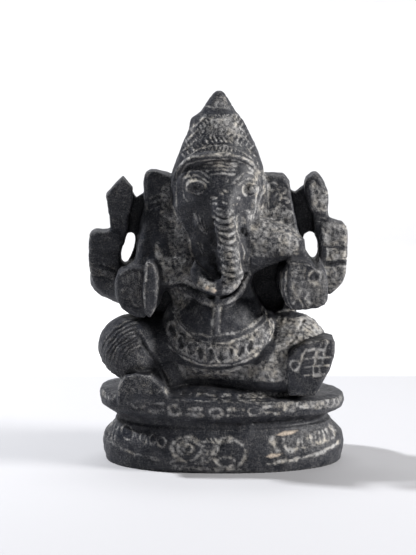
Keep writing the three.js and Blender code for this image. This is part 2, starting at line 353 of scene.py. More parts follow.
def seat_lift(x, z):
    """The seat's top bows up in the middle and leans a little to the figure's left."""
    across = (x - 1.5) / 51
    return np.clip((z - SEAT_FOOT) / 8, 0, 1) * (1.4 * (1 - across**2) - 1.4 * across)


block.add("plinth", turned([
    (48.2, 0), (49.0, 3), (49.4, 7), (48.8, 10.6), (46.8, 13.2), (44.6, 15.4), (43.8, PLINTH_TOP),
], centre=(2.2, 0), depth=0.605, power=2.25))
block.add("waist", turned([
    (43.2, PLINTH_TOP - 0.6), (42.6, 18.4), (43.0, SEAT_FOOT + 0.6),
], centre=(1.6, 0), depth=0.6, power=2.25))
block.add(
    "lotus_seat",
    turned([
        (43.2, SEAT_FOOT), (46.2, 20.8), (49.4, 22.6), (50.2, 25.4), (49.8, 27.9), (45.6, 28.7),
        (20, 29.6),
    ], centre=(1.5, 0), depth=0.585, power=2.25, lift=seat_lift),
    turned([
        (39.6, 26.0), (39.0, 28.4), (34.4, 31.4), (28, 32.8), (10, 33.6),
    ], centre=(1.5, 0), depth=0.69, power=2.1),
    blend=1.6,
)

# Legs.

block.add(
    "right_thigh",
    ellipsoid((-34.2, -5.5, 46.6), (14.6, 17, 13.6), -14),
    limb([(-14, 2, 47, 13), (-30, -2, 47, 12.5)]),
    blend=3.0,
)
block.add("right_shin", limb([(-21.5, -6, 45.5, 12.6), (-20.5, -9, 39, 10.4)]), blend=3.0)
block.add("right_foot", plate([
    (-40.0, 27), (-40.2, 33.6), (-37.6, 38.4), (-33, 39.6), (-26.6, 39), (-22.4, 35), (-18.6, 29),
], front=-26.2, back=-12, edge=1.0, lean=0.15))
block.add(
    "left_thigh",
    ellipsoid((29.6, -3.5, 47.4), (14.6, 16, 13.2), 10),
    limb([(14, 2, 47, 13), (28, 0, 47.6, 12)]),
    blend=3.0,
)
block.add(
    "left_shin",
    limb([(6, -10, 39.5, 8), (20, -14, 42, 9.8), (30, -13, 43.4, 9.6)]),
    limb([(8, -14, 36.2, 4.6), (18, -19, 36.4, 5), (28, -19.5, 36.4, 5)]),
    limb([(-14, -10, 34, 4), (10, -12, 34, 4)]),
    blend=4.0,
)
block.add("left_foot", plate([
    (28, 31), (38.6, 31), (41.8, 36.6), (44.4, 41.4), (46.0, 46), (46.4, 52.6), (43, 53.4),
    (34.4, 52.4), (29.6, 49.4), (26.6, 45), (26.4, 37),
], front=-25.0, back=-8, edge=1.2, lean=0.1))

# Torso.

block.add(
    "belly",
    ellipsoid((0.5, -4.5, 55), (23.2, 20.6, 19)),
    ellipsoid((0.5, -5.6, 47), (22.8, 19.6, 12.8)),
    blend=6.0,
)
block.add(
    "belly_band",
    ellipsoid((0.5, -4.5, 55), (23.8, 21.3, 19.4)),
    ellipsoid((0.5, -5.6, 47), (23.6, 20.5, 13.4)),
    blend=6.0,
    less=[
        plate([
            (-34, 80), (-24.5, 60), (-19, 58.6), (-13, 53.6), (-6, 51.6), (1.5, 51.2), (8, 52.2),
            (14, 54.6), (20.5, 58.8), (26, 60), (36, 80),
        ], front=-60, back=40, edge=0.2),
        plate([
            (-34, 20), (-26, 50), (-20.6, 49), (-15, 45.4), (-8, 42.8), (1, 41.8), (10, 43),
            (17, 46.4), (22.4, 51), (30, 50), (36, 20),
        ], front=-60, back=40, edge=0.2),
        plate([(-40, 10), (40, 10), (40, 90), (-40, 90)], front=-8, back=60, edge=0.2),
    ],
    join=0.5,
)
block.add(
    "chest",
    ellipsoid((0, -2, 75), (21, 17.2, 19)),
    limb([(-19, -1, 86, 8.5), (19, -1, 86, 8.5)]),
    blend=4.0,
)
block.add("girdle", limb(curve([
    (-17.6, -15.6, 63, 0.9), (-13.6, -20, 58, 1), (-8, -22.8, 55.4, 1.1), (0.5, -24.4, 54.8, 1.1),
    (8, -23.2, 56.2, 1.1), (14.6, -19.8, 59.2, 1), (19.2, -15, 63, 0.9),
])), join=0.6)
block.add("sacred_thread", limb([
    (-0.8, -19.6, 70, 1.1), (-0.9, -22.4, 64, 1.2), (-1.4, -24.2, 56, 1.2),
]), join=0.6)
block.add("necklace", limb(curve([
    (-17, -12, 73.4, 1.4), (-11, -17, 71.4, 1.5), (-5, -19.6, 68, 1.6), (0.5, -20.6, 67.4, 1.7),
    (5.4, -20.2, 69, 1.7), (9.4, -19, 73, 1.5), (12, -16.6, 78, 1.2),
])), join=0.8)
block.add(
    "back",
    limb([(0, 6, 46, 15), (0, 5, 66, 14.5), (0, 3, 84, 13.5)]),
    plate(rounded([
        (-25.5, 56), (31, 56), (33, 66), (37, 78), (36, 100), (28, 112), (-27, 112), (-35, 100),
        (-38, 80), (-31, 66),
    ]), front=1.0, back=11.5, edge=3.0),
    blend=6.0,
    join=2.0,
)

# Head.

block.add(
    "head",
    ellipsoid((0.2, -3.4, 110.0), (18.3, 16.6, 18)),
    ellipsoid((0.3, -9.0, 114.6), (16.4, 11.4, 12.6)),
    limb([(0.8, -9, 108, 13.4), (1.6, -11, 99, 10.5), (3, -14, 88, 7)]),
    limb([(0, 0, 84, 14), (0, -2, 108, 17)]),
    limb([
        (-10.6, -8, 105, 7.6), (-7.6, -9.4, 96, 6.6), (-5.4, -11, 88, 5.6), (-3.8, -12, 80, 4.6),
    ]),
    limb([(8.6, -9, 105, 6.4), (8.6, -10.4, 96, 6), (8.2, -11.4, 86, 5.6)]),
    limb([(1, -13, 96, 5), (1.6, -13, 80, 5)]),
    limb([(3, -17.4, 98, 4), (4.9, -20.4, 78, 3.4)]),
    blend=3.5,
)
block.add("right_eye", ellipsoid((-9.0, -17.6, 113.6), (3.9, 3.2, 2.9)), join=0.6)
block.add("left_eye", ellipsoid((12.4, -15.8, 112.7), (3.3, 3.4, 3.0)), join=0.6)
block.add("headband", limb(curve([
    (-18.6, -4, 104, 1.1), (-18.0, -8, 112, 1.2), (-16.0, -11.4, 119, 1.3),
    (-12, -14.8, 123.4, 1.4), (-6, -17.2, 125.4, 1.5), (0.4, -17.8, 125.7, 1.5),
    (6, -17.2, 125.4, 1.5), (11.8, -14.8, 123.4, 1.4), (16, -11.2, 119, 1.3), (18, -8, 112, 1.2),
    (17.8, -5, 104, 1.1),
])), join=1.0)
block.add("trunk", limb(curve([
    (2.2, -17, 110, 6.4), (2.5, -21.4, 104.6, 5.0), (2.9, -24, 98, 4.3), (3.7, -25.2, 91, 4.2),
    (4.8, -26, 84.6, 4.2), (5.5, -26.2, 79.6, 4.3),
])), join=1.4)
block.add(
    "trunk_tip",
    limb(curve([
        (5.5, -26.2, 79.4, 4.3), (4.2, -26.2, 76.2, 3.8), (1, -26, 74.8, 3.3),
        (-3, -25.6, 74.9, 3.0), (-6.6, -25, 76.6, 2.9), (-8.6, -24.2, 79.6, 2.2),
        (-8.9, -23.8, 84.4, 0.7),
    ])),
    plate([
        (-10.6, 78), (-9, 85), (-6.4, 82.6), (-2.4, 78.4), (-4, 75),
    ], front=-25, back=-21, edge=0.8),
    blend=1.5,
    join=0.8,
)
block.add("right_tusk", limb([
    (-8.2, -16.4, 102.2, 1.6), (-7.0, -17.4, 99, 2.4), (-5.2, -17.8, 95.6, 1.2),
]))
block.add("left_tusk", limb([(10.2, -14.8, 101.6, 2.8), (10.0, -15.4, 96.6, 2.4)]))
block.add(
    "sweets",
    ellipsoid((-7.2, -25.6, 77.0), (2.0, 2.2, 1.9)),
    ellipsoid((-4.8, -27.0, 75.0), (2.1, 2.2, 1.9)),
    ellipsoid((-1.9, -27.6, 74.2), (2.0, 2.2, 1.8)),
    blend=0.4,
    join=0.4,
)
block.add("right_ear", plate(rounded([
    (-15, 116), (-20.8, 117), (-26.4, 119), (-30, 117), (-29.6, 106), (-30.4, 96), (-32, 88),
    (-28, 80), (-16, 80),
], 1), front=-8, back=6.5, edge=1.4, lean=0.06))
block.add("left_ear", plate(rounded([
    (15, 116), (20.4, 116.8), (28.4, 116.4), (30.2, 104), (32.4, 94), (34, 88), (37.8, 83),
    (28, 78), (16, 80),
], 1), front=-8, back=6.5, edge=1.4, lean=0.06))

# Crown.

block.add(
    "crown_cap",
    turned([
        (19.6, 110), (19.4, 114), (18.2, 118.6), (17.2, 122), (15.8, 126.4), (13.9, 130.8),
        (11.6, 134.6),
    ], centre=(0.1, -2.6), depth=0.95),
    less=[limb([(0.3, -40, 107, 17.6), (0.3, -8, 107, 17.6)])],
)
block.add(
    "crown_tier",
    turned([(12.2, 133.6), (11.4, 136.4), (9.8, 139), (7.8, 141)], centre=(0, -2.4), depth=0.95),
    ellipsoid((-6.6, -3, 137.6), (4.8, 4.6, 3.6)),
    blend=1.5,
    join=0.7,
)
block.add("crown_finial", turned([
    (7.8, 140.4), (7.1, 142.1), (5.5, 144.8), (3.9, 147.4), (2.3, 149.6), (0.9, 150.5),
], centre=(0.2, -2.0), depth=0.95), join=1.6)

# Rear arms. Each forearm, hand and attribute is one upright slab with a step at the wrist.

block.add(
    "right_rear_upper_arm",
    limb([(-24, 3, 80, 8), (-36, 1, 72, 8), (-43.5, 0, 74.6, 7.6)]),
    limb([(-43.5, 0, 74.6, 7.6), (-36.4, -5, 70, 6.4), (-30, -11, 67.4, 5.8)]),
    blend=3.0,
)
block.add("right_rear_forearm", plate(rounded([
    (-43.6, 66.6), (-48.8, 70.6), (-51.4, 75.5), (-52.2, 82), (-52.2, 92.4), (-49.6, 94.4),
    (-46, 93.6), (-42.5, 95), (-38.2, 93), (-39.4, 82), (-38, 72),
], 1), front=-7, back=6, edge=1.4))
block.add("right_rear_hand", plate([
    (-43.8, 88), (-37.6, 88), (-36.2, 96), (-36, 103.8), (-44, 103.8), (-43.4, 96),
], front=-6.4, back=4.5, edge=1.4))
block.add("right_goad", plate([
    (-44.0, 101.5), (-45.2, 108.4), (-41.8, 112.6), (-38.5, 115.8), (-34.6, 111.6), (-34.6, 106),
    (-35.6, 101.5),
], front=-7, back=4.5, edge=1.2))
block.add("right_web", plate([
    (-28, 92.5), (-38.6, 92.5), (-38.6, 109), (-34.6, 108.6), (-33.2, 106.8), (-28, 110),
], front=0.8, back=6, edge=0.8))
block.add("left_rear_upper_arm", limb([
    (24, 3, 82, 8), (38, 1, 76, 8), (44, 0, 77, 7.6),
]), blend=3.0)
block.add("left_rear_forearm", plate(rounded([
    (43.8, 68), (48.2, 70.6), (51, 74.6), (52, 84), (52.3, 93), (51.4, 97), (47.4, 97.8),
    (43.4, 100.4), (40.2, 96), (40.6, 86), (40, 76),
], 1), front=-7, back=6, edge=1.4))
block.add("left_rear_hand", plate([
    (40, 86), (44.6, 90), (44.2, 101), (42.6, 104), (37.8, 104), (38.6, 96),
], front=-6.4, back=4.5, edge=1.4))
block.add("left_lotus_bud", plate(rounded([
    (38, 101), (43.4, 100), (44.4, 105), (44.6, 109.6), (42, 115), (39, 118.4), (34.2, 114.8),
    (35.6, 106),
], 1), front=-7, back=4.5, edge=1.8))
block.add("left_web", plate([
    (28, 92), (40, 92), (40, 112), (34.2, 111.6), (31.4, 109), (28, 110),
], front=0.8, back=6, edge=0.8))

# Front arms.

block.add(
    "right_front_arm",
    limb([(-20.5, -5, 88, 8), (-25, -7, 80, 8), (-31, -10, 72, 8.8)]),
    plate([
        (-30, 99), (-24, 106), (-17, 104), (-13.4, 95.4), (-12, 90), (-10.6, 84), (-12, 78),
        (-20, 74), (-32, 76), (-33, 84), (-31.6, 92),
    ], front=-14.4, back=0, edge=2.4, lean=0.42),
    blend=3.0,
    join=4.0,
)
block.add("right_front_hand", plate(rounded([
    (-40.4, 66.5), (-41.4, 78), (-36.5, 82.6), (-28, 81.6), (-26, 72), (-28, 61.4), (-33.5, 61.6),
], 1), front=-22, back=-6, edge=2.4))
block.add("held_tusk", plate(rounded([
    (-28.6, 84.8), (-24.6, 83.6), (-23.2, 78.5), (-23.6, 70), (-25, 64.6), (-27.2, 61.6),
    (-29.6, 64.6), (-29.9, 70), (-29.2, 78),
], 1), front=-25.5, back=-12, edge=1.4))
block.add(
    "left_front_arm",
    limb([(14, -8.5, 93, 8.6), (24, -8.5, 89.4, 8.4), (33, -10, 82, 8.2)]),
    limb([(13, -9, 84, 7), (26, -9, 84, 6)]),
    blend=3.0,
)
block.add("left_front_hand", plate(rounded([
    (27.6, 85.4), (33, 85.4), (38.6, 83.6), (43, 79.8), (43.4, 70), (41.6, 66.6), (33, 64.8),
    (27.4, 65.2), (24.4, 72), (24, 81),
], 1), front=-25.0, back=-6, edge=1.3))

# What the carver cut away: the gap beside the belly under the left arm, grooves along the right
# arm, the two holes by the rear arms and the right eye's socket.

deep_gap = rounded([
    (12.2, 77), (20, 81.4), (28.6, 85), (24.8, 79), (23.6, 71), (28, 63), (21, 58.6), (15.6, 66),
], 1)
block.cut(plate(deep_gap, front=-34, back=7, edge=0.8), 0.6)
block.cut(limb([(-21.6, -24, 82, 2.2), (-21.2, -24, 74, 2.8), (-21.6, -24, 64, 2.6)]), 1.5)
block.cut(limb([(-35.5, -14, 92, 2.0), (-37.2, -14, 82.4, 2.0)]), 0.6)
block.cut(limb([(-35.5, 0, 91, 2.0), (-36.9, 0, 83.4, 2.0)]), 0.6)


def pierce(points):
    """An oblong or pear-shaped hole, right through the block from front to back."""
    block.cut(plate(points, front=-40, back=40, edge=0.4), 0.8)


pierce(rounded([
    (-39.6, 82), (-37.6, 80.4), (-35.4, 83), (-33.5, 90), (-34.5, 92.8), (-37.1, 91.8),
], 2))
pierce(rounded([(38.4, 81), (34.4, 87.6), (34.8, 92.4), (38, 93.6), (40.6, 90), (40.4, 83.6)], 2))

block.cut(ellipsoid((-9.6, -21.0, 113.7), (1.8, 1.4, 1.5)), 0.5)


# ---- from the grid to the surface ----


def cell_corners(t):
    """Each corner of a cell, with its share of the points that lie t of the way across."""
    for dx in (0, 1):
        for dy in (0, 1):
            for dz in (0, 1):
                share = np.abs(1 - dx - t[:, 0]) * np.abs(1 - dy - t[:, 1])
                yield (dx, dy, dz), share * np.abs(1 - dz - t[:, 2])


def sample(grid, points):
    """The grid's values at points between its marks."""
    place = (points - block.LOW) / block.STEP
    cell = np.clip(np.floor(place).astype(int), 0, np.array(grid.shape) - 2)
    total = 0.0
    for (dx, dy, dz), share in cell_corners(place - cell):
        total = total + share * grid[cell[:, 0] + dx, cell[:, 1] + dy, cell[:, 2] + dz]
    return total


def box_blur(grid, reach):
    """Each point becomes the mean of the cube that reaches that many marks each way."""
    width = 2 * reach + 1
    for axis in range(3):
        pad = [(0, 0)] * 3
        pad[axis] = (reach + 1, reach)
        total = np.cumsum(np.pad(grid, pad, mode="edge"), axis=axis, dtype=np.float64)
        low = np.take(total, range(total.shape[axis] - width), axis=axis)
        high = np.take(total, range(width, total.shape[axis]), axis=axis)
        grid = ((high - low) / width).astype(np.float32)
    return grid


def surface_nets(field, owner):
    """Vertices, and for each wall its four vertices, the member inside and the one outside.

    Every cell whose corners differ gets one vertex, and every grid edge between different
    members, or between stone and air, gets a wall. Member 0 is the air.
    """
    label = np.where(field < 0, owner, 0)
    mixed = np.zeros(np.array(label.shape) - 1, bool)
    corners = [(i, j, k) for i in (0, 1) for j in (0, 1) for k in (0, 1)]
    first = label[:-1, :-1, :-1]
    for i, j, k in corners[1:]:
        ni, nj, nk = mixed.shape
        mixed |= label[i : i + ni, j : j + nj, k : k + nk] != first
    cells = np.argwhere(mixed)
    number = np.full(mixed.shape, -1, np.int32)
    number[tuple(cells.T)] = np.arange(len(cells))

    at = {c: tuple((cells + c).T) for c in corners}
    value = {c: field[at[c]] for c in corners}
    tag = {c: label[at[c]] for c in corners}
    skin, inner = np.zeros((len(cells), 3)), np.zeros((len(cells), 3))
    skin_count, inner_count = np.zeros(len(cells)), np.zeros(len(cells))
    for a in corners:
        for axis in range(3):
            if a[axis]:
                continue
            b = tuple(1 if n == axis else a[n] for n in range(3))
            crosses = (value[a] < 0) != (value[b] < 0)
            t = np.where(crosses, value[a] / np.where(crosses, value[a] - value[b], 1), 0)
            point = np.repeat([a], len(cells), axis=0).astype(float)
            point[:, axis] += t
            skin[crosses] += point[crosses]
            skin_count += crosses
            split = ~crosses & (tag[a] != tag[b])
            middle = np.array(a, float)
            middle[axis] = 0.5
            inner[split] += middle
            inner_count += split
    on_skin = skin_count > 0
    inside_point = inner / np.maximum(inner_count, 1)[:, None]
    skin_point = skin / np.maximum(skin_count, 1)[:, None]
    local = np.where(on_skin[:, None], skin_point, inside_point)
    vertices = block.LOW + block.STEP * (cells + local)

    walls, inside, outside = [], [], []
    for axis in range(3):
        u, v = (axis + 1) % 3, (axis + 2) % 3
        low = [slice(1, -1)] * 3
        high = [slice(1, -1)] * 3
        low[axis], high[axis] = slice(0, -1), slice(1, None)
        before, after = label[tuple(low)], label[tuple(high)]
        edge = np.argwhere(before != after)
        a, b = before[tuple(edge.T)], after[tuple(edge.T)]
        corner = edge.copy()
        corner[:, u] += 1
        corner[:, v] += 1
        ring = []
        for du, dv in ((-1, -1), (0, -1), (0, 0), (-1, 0)):
            cell = corner.copy()
            cell[:, u] += du
            cell[:, v] += dv
            ring.append(number[tuple(cell.T)])
        walls.append(np.stack(ring, 1))
        inside.append(a)
        outside.append(b)
    return vertices, np.vstack(walls), np.concatenate(inside), np.concatenate(outside), on_skin


def smooth_normals(vertices, faces):
    """Vertex normals, weighted by the area of the faces round each vertex."""
    one_diagonal = vertices[faces[:, 2]] - vertices[faces[:, 0]]
    other_diagonal = vertices[faces[:, 3]] - vertices[faces[:, 1]]
    across = np.cross(one_diagonal, other_diagonal)
    normals = np.zeros_like(vertices)
    for corner in range(4):
        for axis in range(3):
            normals[:, axis] += np.bincount(
                faces[:, corner], weights=across[:, axis], minlength=len(vertices)
            )
    return normals / np.maximum(np.linalg.norm(normals, axis=1, keepdims=True), 1e-9)


def noise(points, size, seed):
    """Smooth random values from -1 to 1, with features about size millimetres across."""
    period = 32
    lattice = np.random.default_rng(seed).uniform(-1, 1, (period,) * 3).astype(np.float32)
    place = points / size + 1000
    cell = np.floor(place).astype(int)
    t = place - cell
    total = 0.0
    for corner, share in cell_corners(t * t * (3 - 2 * t)):
        i, j, k = ((cell[:, axis] + corner[axis]) % period for axis in range(3))
        total = total + share * lattice[i, j, k]
    return total


points, walls, inner_member, outer_member, on_skin = surface_nets(block.field, block.owner)
flipped = walls[:, ::-1]
is_skin = (inner_member == 0) | (outer_member == 0)
skin_walls = np.where((outer_member == 0)[:, None], walls, flipped)[is_skin]
skin_member = np.maximum(inner_member, outer_member)[is_skin]
normals = smooth_normals(points, skin_walls)

vertex_member = np.zeros(len(points), np.uint8)
for corner in range(4):
    vertex_member[skin_walls[:, corner]] = skin_member

# How much stone lies round each point: widely, for the painted shade that darkens hollows, and
# closely, for the edges that wear.
occupied = np.clip(0.5 - block.field / block.STEP, 0, 1)
crowding = sample(box_blur(box_blur(occupied, 4), 4), points + normals * 1.5)
near_crowding = sample(box_blur(box_blur(occupied, 1), 1), points)
painted_shade = np.clip((crowding - 0.22) / 0.5, 0, 1)
wear = np.clip((0.475 - near_crowding) / 0.14, 0, 1)

# ---- ornament ----


class Engraver:
    """Scratches, pecks and chips the skin, as seen from the figure's front or back.

    Each mark is only made on the named members. A mark's width and depth are in millimetres,
    and pale is how much powder lies in it. A line with no powder is a groove with painted shade.
    """

    def __init__(self, points, normals, member):
        self.points, self.member = points, member
        self.pale = np.zeros(len(points))
        self.depth = np.zeros(len(points))
        self.chip = np.zeros(len(points))
        self.painted_shade_mask = np.zeros(len(points))
        self.wobble = np.stack([0.4 * noise(points, 3.5, seed) for seed in (11, 12)], 1)
        self.pressure = 0.8 + 0.55 * noise(points, 2.6, 13)
        x, y, z = points.T
        steep = on_skin & (np.abs(normals[:, 2]) < 0.95)
        self.views = {
            "front": (x, z, steep & (normals[:, 1] < 0.3) & (y < 4)),
            "back": (-x, z, steep & (normals[:, 1] > -0.1) & (y > -4)),
        }

    def chosen(self, on, view, low, high):
        """The skin vertices of the members that lie in a box of the view."""
        u, v, seen = self.views[view]
        inside = seen & (u > low[0]) & (u < high[0]) & (v > low[1]) & (v < high[1])
        numbers = [block.members.index(name) + 1 for name in on]
        index = np.nonzero(inside)[0]
        return index[np.isin(self.member[index], numbers)]

    def line(self, route, on, width=1.1, pale=0.9, depth=0.35, view="front"):
        """A scratched line along the route."""
        route = np.asarray(route, float)
        index = self.chosen(on, view, route.min(0) - width, route.max(0) + width)
        if not len(index):
            return
        u, v, _ = self.views[view]
        u = u[index] + self.wobble[index, 0]
        v = v[index] + self.wobble[index, 1]
        gap = np.full(len(index), np.inf)
        for a, b in zip(route, route[1:]):
            e = b - a
            t = np.clip(((u - a[0]) * e[0] + (v - a[1]) * e[1]) / max(e @ e, 1e-9), 0, 1)
            gap = np.minimum(gap, np.hypot(u - a[0] - t * e[0], v - a[1] - t * e[1]))
        mask = np.clip(1.3 * self.pressure[index] - gap / (0.6 * width), 0, 1)
        self.pale[index] = np.maximum(self.pale[index], pale * mask)
        self.depth[index] = np.maximum(self.depth[index], depth * mask)
        # A groove without powder is marked for painted shade, darkened later in the stone's colour.
        if not pale:
            self.painted_shade_mask[index] = np.maximum(self.painted_shade_mask[index], mask)
            self.pale[index] *= 1 - mask

    def stroke(self, points, on, width=1.1, pale=0.9, depth=0.35, view="front"):
        """A scratched line that runs smoothly through the points."""
        self.line(curve(points), on, width, pale, depth, view)

    def ring(self, centre, radii, on, turns=1.0, **finish):
        """A scratched ring, or a coil that closes in when turns is over 1."""
        angle = np.linspace(0, 2 * math.pi * turns, int(16 * turns) + 1)
        shrink = 1 - 0.75 * np.clip(angle / (2 * math.pi) - 1, 0, 1) if turns > 1 else 1
        route = np.stack(
            [
                centre[0] + radii[0] * shrink * np.cos(angle),
                centre[1] + radii[1] * shrink * np.sin(angle),
            ],
            1,
        )
        self.line(route, on, **finish)

    def within(self, area, on, soft_edge):
        """The front's skin vertices in an area, and how far inside it each one is, 0 to 1."""
        area = np.asarray(area, float)
        index = self.chosen(on, "front", area.min(0), area.max(0))
        u, v, _ = self.views["front"]
        return index, np.clip(-outline_distance(area, u[index], v[index]) / soft_edge, 0, 1)

    def pecked(self, area, on, pale=0.7, grain=0.7):
        """An area of the front that is stippled all over with a point."""
        index, inside = self.within(area, on, 0.8)
        dots = np.clip(noise(self.points[index], grain, 21) * 1.4 + 0.5, 0, 1)
        self.pale[index] = np.maximum(self.pale[index], pale * inside * (0.6 + 0.4 * dots))
        self.depth[index] = np.maximum(self.depth[index], 0.25 * inside * dots)

    def chipped(self, area, on):
        """A place on the front where a flake has come off and the raw, warmer stone shows."""
        index, inside = self.within(area, on, 0.4)
        self.chip[index] = np.maximum(self.chip[index], inside)
        self.depth[index] = np.maximum(self.depth[index], 0.3 * inside)


tool = Engraver(points, normals, vertex_member)
line, stroke, ring = tool.line, tool.stroke, tool.ring
pecked, chipped = tool.pecked, tool.chipped

FACE = ("head", "right_eye", "left_eye", "headband", "trunk", "left_tusk", "right_tusk", "crown_cap")
TRUNK = ("trunk", "trunk_tip", "head")
TORSO = ("belly", "belly_band", "chest", "girdle", "sacred_thread", "necklace")
PLINTH = ("plinth", "waist")
SEAT = ("lotus_seat", "waist")

# Face: lines across the forehead, two brow lines over each eye, the eyes, then the marks on
# the forehead and down the trunk's root, and strands down both sides of the face.
for height, start, end in (
    (124.4, -5.6, 6.8), (123, -5, 7.4), (121.7, -5.6, 7.2), (120.4, -4.6, 7.4), (119, -3.6, 6.4),
):
    line([(start, height - 0.3), (1.2, height + 0.3), (end, height - 0.3)], FACE, 1.0, 0.95, 0.2)
stroke([(-12.9, 117.2), (-12, 119), (-9.6, 119.8), (-6.4, 119.4), (-2.8, 117.4)], FACE, 1.0)
stroke([(-11.6, 117.4), (-8.9, 118), (-6.7, 117.4), (-4, 115.8)], FACE, 0.9, 0.7)
stroke([(7.0, 115.4), (8.6, 117.8), (11.6, 119), (14.2, 118.2), (15.4, 116)], FACE, 1.4, 0.9)
stroke([(8.2, 114.2), (10.4, 116.4), (12.9, 116.9), (14.8, 115.7)], FACE, 1.1, 0.85)
ring((-8.9, 113.7), (3.8, 2.7), FACE, width=1.0, pale=1.0)
line([(-9.9, 113.7), (-9.2, 113.6)], FACE, width=2.0, pale=0.0, depth=0.3)
ring((12.8, 112.6), (3.1, 2.8), FACE, width=1.1, pale=0.9)
pecked([(10, 110.6), (15.6, 110.6), (16, 114.8), (10, 115)], FACE, 0.6, 0.6)
ring((12.9, 113.0), (1.3, 1.1), FACE, width=0.6, pale=0.0, depth=0.3)
stroke([(-13.4, 117), (-14.4, 113), (-13.4, 109.2), (-11.8, 107.6)], FACE, 0.8, 0.5)
ring((2.6, 116.6), (0.8, 0.8), FACE, width=0.9, pale=0.95)
for x, z, length in (
    (-2, 109.8, 1.6), (-2.2, 107.4, 2), (0.6, 111.4, 1), (5, 110.5, 1), (2.4, 107.9, 1.4),
    (6.4, 107.4, 1.4), (0.8, 105.6, 2.4), (4.7, 105.1, 1.4), (3, 112.2, 0.8), (8, 109.4, 0.8),
):
    line([(x - length / 2, z + 0.1), (x + length / 2, z - 0.2)], FACE, 0.9, 0.95, 0.2)
stroke([(-16.6, 118.6), (-17.2, 110), (-16.4, 103), (-13.4, 97)], FACE, 0.8, 0.5)
CHEEK = FACE + ("left_ear", "left_front_arm")
for shift, pale in ((0, 0.75), (1.5, 0.5), (3, 0.6), (4.4, 0.45)):
    stroke([
        (15.0 + shift, 119), (15.6 + shift, 111), (14.4 + shift, 103), (12.6 + shift, 96),
    ], CHEEK, 1.4, pale, 0.1)
stroke([(14.6, 109), (13.8, 103), (12, 97)], FACE, 1.8, 0.4, 0.1)

# Headband and crown.
BAND = [(-16.4, 119), (-12.4, 124.2), (-6, 126), (0.4, 126.4), (6.4, 126), (12, 124), (16.4, 118.6)]
stroke(BAND, ("headband", "crown_cap", "head"), 1.3, 0.9, 0.15)
stroke([(x * 0.95, z - 2.0) for x, z in BAND], ("headband", "crown_cap", "head"), 1.0, 0.7, 0.2)


def band_height(x):
    """The height at x of the crown's foot, where it rises from the headband."""
    return 127.0 - 0.032 * x * x


# Short ticks along the crown's foot, then rows of slanting cuts that lean to and fro.
for x in np.arange(-15, 15.1, 1.5):
    foot = band_height(x)
    line([(x, foot), (x + 0.9, foot + 2.4)], ("crown_cap",), 0.7, 0.75, 0.3)
over_ticks = [(x, band_height(x) + 3.0) for x in np.linspace(-14.5, 14.5, 13)]
line(over_ticks, ("crown_cap",), 0.8, 0.6, 0.25)
CROWN = ("crown_cap", "crown_tier")
for row in range(6):
    lean = 0.8 if row % 2 else -0.8
    for x in np.arange(-14.4, 14.5, 1.9):
        across, z = x * (1 - 0.07 * row), band_height(x) + 4.4 + 2.2 * row
        line([(across - lean, z), (across + lean, z + 1.9)], CROWN, 0.9, 0.75, 0.2)
        line([
            (across + 0.9 - lean / 2, z + 0.3), (across + 0.9 + lean / 2, z + 1.3),
        ], CROWN, 0.75, 0.0, 0.5)
# Long strokes up the back of the crown, which cross each other.
for x in np.arange(-20, 20.1, 2.9):
    for drift, pale in ((-3.0, 0.7), (3.0, 0.6)):
        line([(x, 112), (0.55 * x + drift, 139)], CROWN, 0.75, pale, 0.3, "back")
# The steps between the crown's tiers.
for side in ("front", "back"):
    stroke([
        (-11.4, 135.4), (0, 133.8), (10.8, 135.4),
    ], ("crown_cap", "crown_tier"), 0.9, 0.6, 0.3, side)
    stroke([
        (-6.6, 141.4), (0, 140.2), (6.8, 141.4),
    ], ("crown_tier", "crown_finial"), 1.0, 0.4, 0.4, side)
    stroke([(-5.6, 144.8), (0, 143.8), (5.8, 144.8)], ("crown_finial",), 0.8, 0.6, 0.2, side)
pecked([(-6, 134), (9.5, 133.5), (8.6, 140.5), (-3, 141)], ("crown_tier", "crown_cap"), 0.6)
pecked([(-3, 143), (5, 143), (3.6, 149), (-1, 149)], ("crown_finial",), 0.5)

# Trunk: raised rings on the front, and a smooth strip down its left side.
pecked([(-1.4, 105), (6, 105), (8.4, 90), (9.4, 76), (1.6, 75), (0, 92)], TRUNK, 0.5, 0.8)
for i in range(11):
    z = 104.0 - 2.62 * i
    middle = 2.4 + 0.14 * (103 - z)
    arc = [(middle - 4.4, z + 0.9), (middle - 2.4, z), (middle, z - 0.4), (middle + 2.2, z)]
    arc.append((middle + 3.6, z + 0.9))
    stroke(arc, TRUNK, 1.0, 0.75, 0.0)
    stroke([(x, h - 1.3) for x, h in arc], TRUNK, 0.65, 0.0, 1.1)
stroke([
    (7.3, 98), (7.8, 94.8), (9.2, 91), (10.2, 86.8), (10.4, 83), (9.8, 79), (8, 75.6), (4.6, 72.6),
], TRUNK, 0.8, 0.75, 0.2)
stroke([(6.6, 101), (6.8, 96), (8, 90), (8.9, 84), (9, 80)], TRUNK, 0.6, 0.5, 0.2)
stroke([
    (7.4, 97.6), (7.9, 101.9), (9.7, 104), (11.7, 103.8), (12.7, 101), (12.4, 98.6),
], CHEEK, 1.4, 0.95, 0.1)
pecked([(8.6, 98), (9.4, 102.4), (11.4, 102.4), (11.8, 98.6)], CHEEK, 0.5, 0.6)
ring((10.0, 95.6), (0.8, 1.4), FACE, width=1.2, pale=0.0, depth=0.9)
for shift, pale in ((0, 0.55), (1.3, 0.7), (2.6, 0.5)):
    stroke([
        (-9.3 + shift, 102.6), (-8.0 + shift, 98.8), (-5.6 + 0.6 * shift, 95),
    ], FACE, 0.8, pale, 0.2)
for shift in (0, 1.2):
    line([(-8.2 + shift, 90.4), (-6.2 + shift, 86.4)], FACE, 0.9, 0.5, 0.2)
